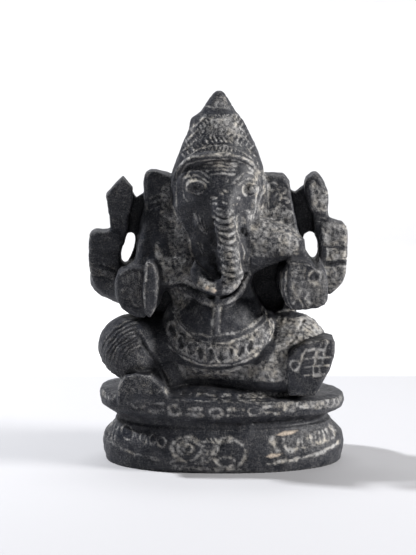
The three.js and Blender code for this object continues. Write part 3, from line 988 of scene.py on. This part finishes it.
# The furrow between the cheek and the trunk, painted dark as the shadow the trunk casts on the
# cheek.
stroke([(-2.8, 96.4), (-1.8, 88), (-0.6, 79.4)], FACE, 4.6, 0.0, 0.9)
stroke([(-7.4, 84.4), (-5, 81.2), (-2.8, 78.4)], ("trunk_tip",), 0.8, 0.7)
stroke([(-9.9, 76.4), (-8, 74.6), (-6, 73.2)], ("trunk_tip",), 0.8, 0.5)
pecked([(-9, 74.5), (-1, 72), (-0.5, 77), (-8, 79.5)], ("sweets", "trunk_tip"), 0.95, 0.8)
for x, z in ((-7.0, 76.6), (-4.4, 74.6), (-1.8, 73.8)):
    chipped([(x - 1.4, z), (x, z + 1.4), (x + 1.4, z + 0.2), (x, z - 1.2)], ("sweets",))
pecked([(1, 71.5), (9, 74), (8.6, 78.4), (1.6, 77)], ("trunk_tip", "trunk"), 0.7, 0.8)

# Ears: a ladder of short cuts at the right, curls at the left.
for row in range(5):
    z = 109.5 - 2.4 * row
    line([(-27.4, z - 1.6), (-22.4, z)], ("right_ear",), 0.8, 0.5, 0.3)
    line([(-22.4, z - 0.4), (-20.6, z + 1.4)], ("right_ear",), 0.8, 0.45, 0.3)
EAR = ("right_ear", "head", "right_front_arm")
pecked([(-24, 94), (-17.6, 94), (-18.6, 115), (-22.4, 114)], EAR, 0.42)
for x, z in (
    (-21, 111), (-21.4, 108), (-21, 105), (-21.6, 102), (-20.4, 99.4), (-18, 97.4), (-22.6, 97.6),
):
    ring((x, z), (1.2, 1.1), EAR, width=0.9, pale=0.8)
stroke([(-29, 115), (-28.6, 106), (-29.4, 96), (-30.6, 88)], ("right_ear",), 0.7, 0.35)
line([(20.2, 114), (20.2, 104.6)], ("left_ear", "head", "crown_cap"), 1.4, 0.9, 0.2)
stroke([(20.4, 113.6), (22, 114.4), (23.6, 113.4), (22.8, 112)], ("left_ear",), 0.9, 0.7)
for x, z in (
    (23.4, 110.4), (26.4, 110.8), (24.6, 108), (27.4, 107), (23.6, 105), (26.4, 103.4),
    (28.4, 101.8),
):
    stroke([(x - 1.5, z + 0.6), (x, z + 1.1), (x + 1.1, z), (x, z - 1.2)], ("left_ear",), 1.2, 0.9)
ring((19.8, 102.6), (0.6, 1.0), ("left_ear", "head", "left_front_arm"), width=1.2, pale=1.0)
pecked([(20.6, 104), (29, 104), (31, 96), (21, 98)], ("left_ear", "left_front_arm"), 0.5)

# Front arms and hands: the left hand has a ring in its palm, the right one holds the tusk.
ARM = ("left_front_arm", "left_ear", "chest", "left_front_hand")
pecked([(12.4, 99), (20, 104), (29, 101), (34, 92), (30, 86), (20, 84.6), (12.6, 85)], ARM, 0.5)
pecked([(13, 97), (19, 99), (22, 93), (18, 87), (13.6, 88)], ARM, 0.62)
ring((26.6, 92.8), (2.0, 1.7), ARM, width=0.8, pale=0.8)
ring((30.2, 90.0), (1.9, 1.7), ARM, width=0.8, pale=0.8)
ring((30.2, 90.0), (0.7, 0.7), ARM, width=0.6, pale=0.7)
stroke([(23.2, 97), (24.4, 92), (27.4, 88.4), (31.4, 87)], ARM, 0.9, 0.7)
stroke([(12.6, 78.6), (12.2, 84), (13.4, 90), (13.2, 94)], ARM, 0.8, 0.6)
HAND = ("left_front_hand",)
stroke([(25.2, 82), (24.8, 75), (25.6, 69.4), (27.6, 66)], HAND, 1.0, 0.85)
stroke([(27.0, 82), (26.5, 75), (27.4, 69.4), (29, 66)], HAND, 0.8, 0.65)
stroke([(28.4, 84), (32, 83.8), (36, 83)], HAND, 0.7, 0.6)
ring((38.1, 78.6), (2.5, 2.7), HAND, width=1.6, pale=1.0)
line([(38.1, 78.6), (38.2, 78.4)], HAND, 1.6, 0.0, 0.5)
ring((32.0, 75.6), (3.0, 4.0), HAND, turns=1.6, width=0.8, pale=0.6)
stroke([(31, 71), (33.4, 73.6), (36, 72), (34.2, 69.6), (37, 68.4)], HAND, 1.5, 0.95)
stroke([(29.4, 68.2), (31.4, 70), (33.4, 67)], HAND, 1.2, 0.8)
pecked([(34, 77), (43, 79), (43, 67), (34, 66)], HAND, 0.38)
pecked([(28, 84), (35, 83.6), (34, 70), (28, 68)], HAND, 0.4)
HELD = ("held_tusk", "right_front_hand")
stroke([
    (-28.8, 79), (-28.4, 83.4), (-25, 82.4), (-23.9, 78.5), (-24.1, 72.3), (-24.7, 67),
    (-26.6, 63.2),
], HELD, 0.8, 0.75)
stroke([(-26.6, 63.2), (-29, 65.6), (-29.4, 70), (-28.7, 75), (-28.8, 79)], HELD, 0.8, 0.75)
line([(-28.6, 72.6), (-24.4, 73.6)], HELD, 0.6, 0.4)
for x in (-38.2, -36, -33.8, -31.6):
    line([(x, 80.4), (x + 0.3, 75.4)], HELD, 0.9, 0.75, 0.5)
pecked([(-40, 80), (-30, 81), (-29.8, 66), (-34, 66)], HELD, 0.34)
ring((-36.4, 71.6), (2.2, 2.4), HELD, turns=1.5, width=0.8, pale=0.65)
ring((-32.4, 68.2), (1.6, 1.9), HELD, width=0.8, pale=0.6)
SHOULDER = ("right_front_arm", "right_ear", "head", "chest")
line([(-24.4, 90), (-20.4, 77)], SHOULDER, 2.6, 0.75, 0.0)
stroke([
    (-18.4, 104.6), (-15.4, 99.3), (-12.8, 95), (-11.6, 90), (-10.4, 86), (-9.4, 83),
], SHOULDER, 1.3, 0.85)
pecked([(-19.5, 104), (-15, 99), (-12.4, 94), (-11.6, 87), (-19, 84), (-21, 94)], SHOULDER, 0.48)
pecked([(-22, 86), (-10, 86), (-8, 70), (-18, 60)], SHOULDER + ("belly",), 0.8)
stroke([(-19.6, 78), (-17.6, 73.6), (-14.6, 70.6)], SHOULDER + ("belly",), 1.6, 0.7, 0.1)
for x, z in ((-18, 95), (-15.4, 92.6), (-18.4, 90), (-15, 88.4), (-13.6, 85.6)):
    ring((x, z), (1.1, 1.0), SHOULDER, width=0.9, pale=0.85)

# Rear arms: bands at wrist and elbow, and lines up the attributes.
GOAD = ("right_goad", "right_rear_hand")
for z in (106.2, 103.8):
    line([(-44.8, z + 0.2), (-36, z - 0.2)], GOAD, 0.6, 0.4)
for x in (-42.2, -40.6, -38.8):
    line([(x, 101.4), (x + 0.5, 96)], GOAD, 0.6, 0.4)
pecked([(-44, 108), (-38.5, 115), (-35.4, 111), (-36, 107)], GOAD, 0.3)
RIGHT_FOREARM = ("right_rear_forearm", "right_rear_upper_arm")
LEFT_FOREARM = ("left_rear_forearm", "left_rear_upper_arm", "left_rear_hand")
stroke([(-51.6, 91.4), (-48, 90.4), (-44, 92)], RIGHT_FOREARM, 0.8, 0.4)
for z in (81.2, 76.9):
    stroke([(-52, z), (-46, z - 0.6), (-40.4, z - 2.6)], RIGHT_FOREARM, 1.1, 0.75)
pecked([(-52, 81), (-41, 78), (-41, 74.6), (-52, 77)], RIGHT_FOREARM, 0.5)
pecked([(-47, 76), (-42, 74), (-40, 70), (-45, 70)], RIGHT_FOREARM, 0.25)
for z in (87, 82.9, 79.9):
    line([(43.6, z), (52, z + 0.2)], LEFT_FOREARM, 0.8, 0.85)
line([(43.8, 81.4), (51.6, 81.6)], LEFT_FOREARM, 0.8, 0.0, 0.5)
pecked([(43.4, 87), (52, 87), (52, 83), (43.4, 83)], LEFT_FOREARM, 0.8)
pecked([(41, 99), (52.4, 97), (52.4, 88), (42, 88)], LEFT_FOREARM, 0.6)
pecked([(42, 80), (52, 80), (52, 70), (44, 70)], LEFT_FOREARM, 0.4)
stroke([(47.6, 97), (48.2, 92), (46.4, 88)], LEFT_FOREARM, 0.8, 0.6)
ring((42.6, 92.4), (1.6, 2.0), LEFT_FOREARM, width=0.7, pale=0.5)
stroke([(40.4, 98.6), (43, 97.6), (44.2, 94.6)], LEFT_FOREARM, 0.7, 0.6)
stroke([(40.2, 100.4), (43.2, 99.6)], LEFT_FOREARM, 0.7, 0.5)
pecked([(48.6, 96.6), (52, 96.6), (52, 88), (49, 88)], LEFT_FOREARM, 0.5)
BUD = ("left_lotus_bud", "left_rear_hand")
pecked([(37, 116), (44.6, 110), (44, 102), (37, 102)], BUD, 0.6)
stroke([(37, 113), (39, 108), (38.4, 105), (40, 102)], BUD, 0.7, 0.5)
stroke([(38.6, 115), (40.8, 110), (40.2, 106)], BUD, 0.7, 0.55)

# Torso: girdle, belt, sacred thread and necklace.
stroke([
    (-18.5, 63.2), (-16.9, 60), (-14, 56.6), (-10.6, 54.3), (-5.7, 52.9), (1.5, 52), (5.6, 52.8),
    (12.6, 55.2), (18.1, 58.8), (20.8, 62.2),
], TORSO, 1.1, 0.85)
stroke([
    (-17.2, 63.9), (-15.2, 60.4), (-12.3, 57), (-9, 55.6), (-4, 55), (0, 55), (4.9, 55.8),
    (10.1, 57.1), (13.9, 59.2), (19.4, 63.5),
], TORSO, 1.3, 0.8)
stroke([
    (-21.8, 53.4), (-19.6, 49.4), (-14.9, 46.4), (-10.6, 44.4), (-4.1, 43.2), (2, 43), (9.1, 44),
    (13.6, 45.9), (18.1, 48.6), (21.2, 51.9), (22.9, 56), (21.4, 59.4),
], TORSO, 1.3, 0.95)
pecked([
    (-22.4, 57), (-17.6, 61), (-12.6, 55), (-6, 52.6), (2, 51.6), (10, 53.6), (18, 58), (22.6, 57),
    (20, 50.6), (12, 45.4), (2, 43.4), (-8, 44.4), (-16, 47.6), (-21, 52),
], TORSO, 0.55)
for x, z, lean in (
    (-18.8, 56, 2.2), (-15.2, 51.6, 1.4), (-11, 49.4, 0.9), (-7.1, 48.3, 0.5), (-3.2, 47.7, 0.2),
    (0.8, 47.4, 0), (4.8, 47.8, -0.4), (8.8, 48.8, -0.8), (12.8, 50.5, -1.2), (16.6, 53.2, -1.8),
    (19.8, 56.6, -2.4),
):
    line([(x - lean * 0.5, z + 1.5), (x + lean * 0.5, z - 1.5)], TORSO, 2.0, 0.0, 0.8)
    ring((x, z), (1.9, 3.1), TORSO, width=0.8, pale=0.85, depth=0.0)
for x in (-1.9, 0.7):
    line([(x + 0.1, 66), (x - 0.5, 56)], TORSO, 1.1, 0.9, 0.15)
stroke([(-16.6, 72), (-13, 73), (-10.1, 73.8)], TORSO, 1.5, 0.6)
stroke([(-6, 67.6), (0, 67.2), (4.8, 68.2), (8.4, 72), (11, 77)], TORSO + ("trunk_tip",), 2.0, 0.85)
stroke([(4.6, 72.4), (7.8, 74.4), (10.6, 78)], TORSO, 1.0, 0.6)
# Painted light: the belly's shaded underside is pecked pale, standing in for light thrown up from
# the floor.
pecked([
    (-18, 43), (0, 41), (18, 44), (14, 36), (-14, 35),
], TORSO + ("left_shin", "right_shin"), 0.7)
chipped([(8.4, 38), (11.4, 39.8), (11.6, 40.8), (8.8, 39.2)], ("belly",))

# Right leg: the folds of the cloth over the knee, and the patterned foot.
KNEE = ("right_thigh", "right_shin")
for radius in np.arange(8.4, 18.6, 1.45):
    sweep = np.radians(np.linspace(100, 222, 9))
    fold = np.stack([-29.8 + radius * np.cos(sweep), 42.4 + 0.97 * radius * np.sin(sweep)], 1)
    line(fold, KNEE, 0.8, 0.4, 0.1)
    line(fold + [0.45, -0.45], KNEE, 0.7, 0.0, 0.55)
stroke([
    (-33.1, 55.8), (-29.2, 50.4), (-25.8, 44.8), (-22.9, 40.4), (-20.6, 34.7),
], KNEE + ("right_foot",), 1.5, 0.0, 1.1)
stroke([(-31.6, 56.6), (-27.6, 50.6), (-24.2, 45), (-21.4, 40.2), (-18.8, 34)], KNEE, 0.7, 0.35)
pecked([(-34, 50), (-27.5, 46), (-27, 41), (-34, 39), (-40, 42)], KNEE, 0.28)
pecked([(-40, 39), (-25.5, 39), (-22, 34), (-24, 31.5), (-40, 31.5)], ("right_foot",), 0.22)
stroke([
    (-39.8, 31), (-39.6, 35.4), (-37, 38.4), (-32, 39.2), (-26.6, 38.6),
], ("right_foot",), 0.9, 0.5)
line([(-27, 38.4), (-26.6, 32)], ("right_foot",), 0.8, 0.5)
stroke([(-24.4, 32.3), (-22, 33.2), (-19.8, 31.6)], ("right_foot", "lotus_seat"), 0.9, 0.9)

# Left leg: the edge of the cloth, the knee and the lattice on the sole.
THIGH = ("left_thigh", "left_shin", "left_foot")
stroke([(33.1, 59.8), (29, 54.4), (25.5, 49.5), (23.1, 45.9)], THIGH, 1.6, 0.6, 0.2)
stroke([(34.2, 58.4), (30.6, 53.8), (28, 50)], THIGH, 1.2, 0.0, 0.9)
stroke([(22.6, 55), (23.4, 50), (20.6, 46), (17, 43)], THIGH, 0.7, 0.4)
for x in (37.4, 39, 40.6, 42.2):
    line([(x, 57.6), (x + 0.6, 54.8)], THIGH, 0.6, 0.6)
ring((37.2, 57.4), (1.0, 1.6), THIGH, width=0.7, pale=0.6)
pecked([(23, 62), (36, 62), (40, 57.6), (46, 57), (44, 53), (30, 50), (24, 46)], THIGH, 0.78)
pecked([
    (10, 36), (27, 36), (28, 48), (33, 60), (24, 58), (22, 48), (12, 41),
], THIGH + ("belly",), 0.76)
for start, middle, end in (
    ((13, 40), (17.5, 42.8), (22, 44)), ((16, 37.4), (20.5, 40), (25, 41)),
    ((24.6, 44), (27.3, 48.8), (30, 52)), ((22, 52), (24, 55.8), (26, 58)),
):
    stroke([start, middle, end], THIGH, 1.2, 0.5, 0.1)
SOLE = ("left_foot",)
for z, start, end in ((49.4, 34.5, 44.4), (46, 33.8, 44.8), (42.9, 34, 43.9), (39.2, 34.6, 42)):
    stroke([(start, z - 0.3), ((start + end) / 2, z - 0.1), (end, z + 0.3)], SOLE, 1.1, 0.9)
for bottom, top in (
    ((41.8, 47.4), (43.4, 52.6)), ((39, 46.8), (41.4, 52)), ((38.2, 43.2), (38.8, 45.8)),
    ((41.4, 43.2), (41.2, 46)), ((38, 38.8), (37.8, 42.6)), ((40.6, 38.9), (40.2, 42.8)),
):
    line([bottom, top], SOLE, 1.1, 0.9)
stroke([(35, 49.6), (33.4, 47), (32.4, 43), (31.6, 40.6)], SOLE, 1.1, 0.9)
ring((30.6, 43), (1.9, 1.9), SOLE, width=1.1, pale=0.9)
line([(27.4, 40), (27, 35.6)], THIGH, 0.8, 0.5)

# Seat: ovals along the top bevel, and rings with dashes between them round the rim.
for x, z, half in (
    (-12.8, 31.6, 1.9), (-4.9, 30.4, 4.4), (3.2, 30.4, 1.7), (11.5, 30.4, 3.8), (20.1, 29.6, 2.6),
):
    ring((x, z), (half, 1.0), SEAT, width=1.2, pale=0.7)
for x in (-44, -32, -17.4, -0.9, 14.5, 28.8, 43.6):
    z = 24.8 + 0.0022 * x * x
    ring((x, z), (2.4, 1.8), SEAT, width=1.7, pale=0.8)
for x in (-25, -9.2, 7, 21, 35.6):
    z = 24.9 + 0.0022 * x * x
    line([(x - 2.8, z + 1.3), (x + 2.8, z + 1.2)], SEAT, 1.7, 0.85)
    line([(x - 2.8, z - 1.4), (x + 2.8, z - 1.5)], SEAT, 1.8, 0.8)
pecked([(10, 32.6), (46, 30), (51, 27), (50, 23), (40, 24), (10, 28.6)], SEAT, 0.42)
pecked([(-41, 30), (-36, 30), (-36, 26), (-41, 26)], SEAT, 0.25)
stroke([(-38, 30.6), (-30, 31.4), (-20, 32.4)], SEAT, 1.4, 0.4)
stroke([(-18, 34), (0, 34.6), (18, 34.4), (30, 33)], SEAT, 1.3, 0.45)

# A groove under the seat.
stroke([(-3, 19.4), (10, 19.2), (22, 19.6), (34, 20.4)], SEAT + PLINTH, 1.1, 0.0, 0.8)

# Plinth: a scroll in the middle, petals to each side and a line round the foot.
ring((-12.4, 9.8), (5.6, 4.6), PLINTH, turns=1.8, width=1.9, pale=0.9)
ring((-11.8, 10.2), (2.3, 1.7), PLINTH, width=1.3, pale=0.85)
ring((4.4, 8.4), (6.6, 5.8), PLINTH, width=2.0, pale=0.85)
ring((3.0, 4.9), (3.9, 1.9), PLINTH, width=1.4, pale=0.75)
ring((-15.8, 4.2), (3.0, 1.4), PLINTH, width=1.4, pale=0.75)
for shift in (0, 1.6, 3.2):
    stroke([
        (-4.4 + shift, 14), (-3.2 + shift, 10.5), (-5.4 + shift, 6.6), (-9.4 + shift, 4),
    ], PLINTH, 1.1, 0.85)
for z in (12.6, 11, 9.4, 7.8, 6.2):
    line([(-6.6, z + 0.4), (-2, z)], PLINTH, 1.0, 0.7)
line([(-18, 2.0), (10, 1.8)], PLINTH, 1.5, 0.7)
pecked([(-18, 3.4), (9, 3.0), (9, 1.0), (-18, 1.2)], PLINTH, 0.6)
for x in (-46, -44.4, -42.8, -41.2):
    line([(x - 0.8, 10.6), (x + 0.6, 15)], PLINTH, 1.0, 0.65)
ring((-36.8, 14.0), (2.2, 2.3), PLINTH, width=1.0, pale=0.75)
ring((-26, 12.8), (1.3, 1.8), PLINTH, width=0.8, pale=0.65)
line([(-34, 15), (-32.4, 11.4)], PLINTH, 0.9, 0.65)
ring((-30.0, 12.8), (1.5, 1.9), PLINTH, width=0.8, pale=0.7)
ring((-22.4, 12.0), (1.6, 1.8), PLINTH, width=1.0, pale=0.75)
stroke([(-46.6, 9.6), (-39, 7.6), (-32, 6), (-23.6, 5)], PLINTH, 1.5, 0.75)
line([(21.4, 12.6), (23.6, 8.8)], PLINTH, 2.8, 0.9)
stroke([(26, 12.8), (27.2, 9.8), (29.8, 8.6), (32, 9.8), (32.4, 13)], PLINTH, 2.0, 1.0)
for i in range(7):
    x = 33.6 + 1.75 * i
    line([(x, 13.6 + 0.12 * i), (x + 0.7, 9.6 + 0.15 * i)], PLINTH, 1.3, 0.9)
stroke([(33.6, 9.4), (38, 9.8), (44, 10.6), (47.4, 11.4)], PLINTH, 1.3, 0.8)
stroke([(45.4, 15), (47.4, 12.6), (47, 11)], PLINTH, 1.3, 0.8)
stroke([(19.5, 3.9), (30, 4.7), (40.4, 6.2), (48.6, 8.4)], PLINTH, 1.8, 1.0)
pecked([(19, 15), (46, 16.4), (49, 9), (20, 4)], PLINTH, 0.14)
chipped([(22.4, 14.8), (26, 16), (32.6, 16), (30, 14.6), (25.6, 14.2)], PLINTH)
chipped([(18.8, 6.8), (21, 8), (26, 7.8), (24, 6.4), (20.6, 6)], PLINTH)

# The back is plainer: a spine, a sash, a hem, and the same rings and petals on the base.
BACK = ("back", "right_thigh", "left_thigh")
line([(0, 60), (0, 88)], BACK, 1.2, 0.3, 0.5, "back")
stroke([(-20, 88), (-6, 76), (10, 62), (18, 56)], BACK, 1.0, 0.6, 0.3, "back")
stroke([(-18.4, 90), (-4, 78), (12, 64), (20, 58)], BACK, 0.8, 0.5, 0.3, "back")
for z in (52, 50):
    stroke([(-22, z + 2), (0, z - 2), (22, z + 2)], BACK, 1.0, 0.6, 0.3, "back")
for x in np.arange(-18, 18.1, 4.5):
    ring((x, 47.0 + 0.006 * x * x), (1.4, 1.8), BACK, width=0.8, pale=0.6, view="back")
for x in np.arange(-42, 42.1, 12):
    ring((x, 24.9 + 0.0022 * x * x), (2.4, 1.8), SEAT, width=1.2, pale=0.65, view="back")
    line([(x + 3.8, 26.2), (x + 8.2, 26.2)], SEAT, 1.2, 0.6, view="back")
    line([(x + 3.8, 23.6), (x + 8.2, 23.6)], SEAT, 1.2, 0.6, view="back")
for x in np.arange(-42, 42.1, 6):
    stroke([
        (x - 1.8, 14), (x - 1.4, 10.4), (x, 9), (x + 1.4, 10.4), (x + 1.8, 14),
    ], PLINTH, 1.1, 0.65, view="back")
line([(-48, 5.4), (48, 5.4)], PLINTH, 1.1, 0.65, view="back")

# ---- finish of the surface ----

# The hand's unevenness, less what has broken off the edges and what the ornament takes out.
worked = 0.3 * noise(points, 9.0, 1) + 0.2 * noise(points, 3.0, 2) + 0.08 * noise(points, 1.2, 3)
edge_breaks = np.clip(noise(points, 4.0, 4) - 0.2, 0, 1) * wear * 1.2
ragged = 0.75 + 0.5 * noise(points, 1.6, 5)
move = worked - edge_breaks - tool.depth * ragged
move[points[:, 2] < 0.8] = 0
finished = points + normals * move[:, None] * on_skin[:, None]
finished[:, 2] = np.maximum(finished[:, 2], 0)
finished_normals = smooth_normals(finished, skin_walls)

# The powder in the cuts lies in specks; as painted light it is paler towards the figure's left,
# where the key lamp falls, and darker towards its right, which lies in shade.
toward_key_light = np.clip(points[:, 0] / 45, -1, 1)
powder_and_painted_light = tool.pale * (0.85 + 0.9 * noise(points, 0.9, 6)) * (0.9 + 0.25 * toward_key_light)
ATTRIBUTES = {
    "pale": np.clip(powder_and_painted_light, 0, 1),
    "chip": tool.chip,
    "wear": wear,
    # painted shade: the hollows and the grooves without powder, darkened in the stone's colour
    "painted_shade": np.maximum(painted_shade, 0.9 * tool.painted_shade_mask),
}

# ---- stone ----


def stone_material():
    """Black stone: mottled, greyer where it is rubbed, pale and rough where it is cut, and darkened
    with painted shade in its hollows and unpowdered grooves.
    """
    material = bpy.data.materials.new("carved_black_stone")
    material.use_nodes = True
    tree = material.node_tree
    nodes, links = tree.nodes, tree.links
    shader = nodes["Principled BSDF"]
    place = nodes.new("ShaderNodeTexCoord").outputs["Object"]

    def attribute(name):
        node = nodes.new("ShaderNodeAttribute")
        node.attribute_name = name
        return node.outputs["Fac"]

    def grain(size_mm, detail=4.0, stretch=(1, 1, 1)):
        mapping = nodes.new("ShaderNodeMapping")
        mapping.inputs["Scale"].default_value = stretch
        links.new(place, mapping.inputs["Vector"])
        node = nodes.new("ShaderNodeTexNoise")
        node.inputs["Scale"].default_value = 1 / (size_mm * MM)
        node.inputs["Detail"].default_value = detail
        links.new(mapping.outputs["Vector"], node.inputs["Vector"])
        return node.outputs["Fac"]

    def ranged(value, low, high, to_low=0.0, to_high=1.0):
        node = nodes.new("ShaderNodeMapRange")
        links.new(value, node.inputs["Value"])
        node.inputs["From Min"].default_value = low
        node.inputs["From Max"].default_value = high
        node.inputs["To Min"].default_value = to_low
        node.inputs["To Max"].default_value = to_high
        return node.outputs["Result"]

    def maths(operation, a, b, clamped=True):
        node = nodes.new("ShaderNodeMath")
        node.operation = operation
        node.use_clamp = clamped
        for socket, value in zip(node.inputs, (a, b)):
            if isinstance(value, float):
                socket.default_value = value
            else:
                links.new(value, socket)
        return node.outputs[0]

    # A mix node has an A and a B for each data type: inputs 6 and 7 and output 2 are its colours.
    def mixed_colour(factor, a, b):
        node = nodes.new("ShaderNodeMix")
        node.data_type = "RGBA"
        links.new(factor, node.inputs[0])
        for socket, value in zip((node.inputs[6], node.inputs[7]), (a, b)):
            if isinstance(value, tuple):
                socket.default_value = (*value, 1)
            else:
                links.new(value, socket)
        return node.outputs[2]

    pale, chip = attribute("pale"), attribute("chip")
    worn, painted_shade_mask = attribute("wear"), attribute("painted_shade")

    mottle = ranged(grain(7.0), 0.38, 0.66)
    colour = mixed_colour(mottle, (0.008, 0.0095, 0.0145), (0.025, 0.026, 0.032))
    speckle = ranged(grain(0.7, 3.0), 0.46, 0.66)
    patches = ranged(grain(3.6), 0.40, 0.66)
    grey = maths("ADD", maths("MULTIPLY", worn, 0.8), maths("MULTIPLY", patches, 0.4))
    colour = mixed_colour(maths("MULTIPLY", speckle, grey), colour, (0.17, 0.165, 0.16))
    scored = ranged(grain(0.9, 5.0, (0.6, 0.6, 2.4)), 0.54, 0.74)
    crossed = ranged(grain(0.9, 5.0, (2.2, 0.8, 0.5)), 0.56, 0.74)
    scratched = ranged(grain(5.0), 0.36, 0.6, 0.12, 0.5)
    scratches = maths("MULTIPLY", maths("ADD", scored, crossed), scratched)
    colour = mixed_colour(scratches, colour, (0.15, 0.15, 0.155))
    # Painted shade: the hollows and the grooves without powder are darkened towards black.
    colour = mixed_colour(maths("MULTIPLY", painted_shade_mask, 0.7), colour, (0.006, 0.006, 0.007))
    # The pale powder of the cuts lies in specks, closer together the deeper the cut.
    specks = maths("MULTIPLY", grain(0.45, 3.0), 1.7)
    density = maths("ADD", maths("MULTIPLY", pale, 1.1, False), specks, False)
    cut = ranged(density, 0.95, 1.9)
    warm = mixed_colour(ranged(grain(4.0), 0.45, 0.65), (0.34, 0.335, 0.33), (0.38, 0.355, 0.315))
    colour = mixed_colour(cut, colour, warm)
    flake = maths("MULTIPLY", chip, ranged(grain(0.8), 0.35, 0.6, 0.5, 1.0))
    colour = mixed_colour(flake, colour, (0.50, 0.42, 0.34))
    links.new(colour, shader.inputs["Base Color"])

    rough = ranged(cut, 0.0, 0.8, 0.5, 0.85)
    rough = maths("ADD", rough, ranged(grain(1.5), 0.3, 0.7, -0.06, 0.12))
    links.new(rough, shader.inputs["Roughness"])
    shader.inputs["Specular IOR Level"].default_value = 0.25

    fine = nodes.new("ShaderNodeBump")
    fine.inputs["Strength"].default_value = 0.7
    fine.inputs["Distance"].default_value = 0.16 * MM
    links.new(grain(0.55, 4.0), fine.inputs["Height"])
    streaks = nodes.new("ShaderNodeBump")
    streaks.inputs["Strength"].default_value = 0.6
    streaks.inputs["Distance"].default_value = 0.25 * MM
    links.new(grain(1.8, 3.0, (0.35, 1, 1.6)), streaks.inputs["Height"])
    links.new(fine.outputs["Normal"], streaks.inputs["Normal"])
    links.new(streaks.outputs["Normal"], shader.inputs["Normal"])
    return material


# ---- pieces ----


def make_piece(name, number, material):
    """The closed mesh of one member: its skin, and its walls against the other members."""
    walls_out = walls[inner_member == number]
    walls_in = flipped[outer_member == number]
    faces = np.vstack([walls_out, walls_in])
    used, faces = np.unique(faces, return_inverse=True)
    faces = faces.reshape(-1, 4)
    mesh = bpy.data.meshes.new(name)
    mesh.vertices.add(len(used))
    mesh.vertices.foreach_set("co", (finished[used] * MM).astype(np.float32).ravel())
    mesh.loops.add(faces.size)
    mesh.loops.foreach_set("vertex_index", faces.astype(np.int32).ravel())
    mesh.polygons.add(len(faces))
    mesh.polygons.foreach_set("loop_start", np.arange(0, faces.size, 4, dtype=np.int32))
    mesh.polygons.foreach_set("use_smooth", np.ones(len(faces), bool))
    mesh.update(calc_edges=True)
    for key, values in ATTRIBUTES.items():
        layer = mesh.attributes.new(key, "FLOAT", "POINT")
        layer.data.foreach_set("value", values[used].astype(np.float32))
    mesh.materials.append(material)
    mesh.normals_split_custom_set_from_vertices(finished_normals[used].tolist())
    piece = bpy.data.objects.new(name, mesh)
    bpy.context.collection.objects.link(piece)
    return piece


stone = stone_material()
for number, member in enumerate(block.members, start=1):
    piece = make_piece(member + "_stone", number, stone)
    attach(piece, "root")
    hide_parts(member)
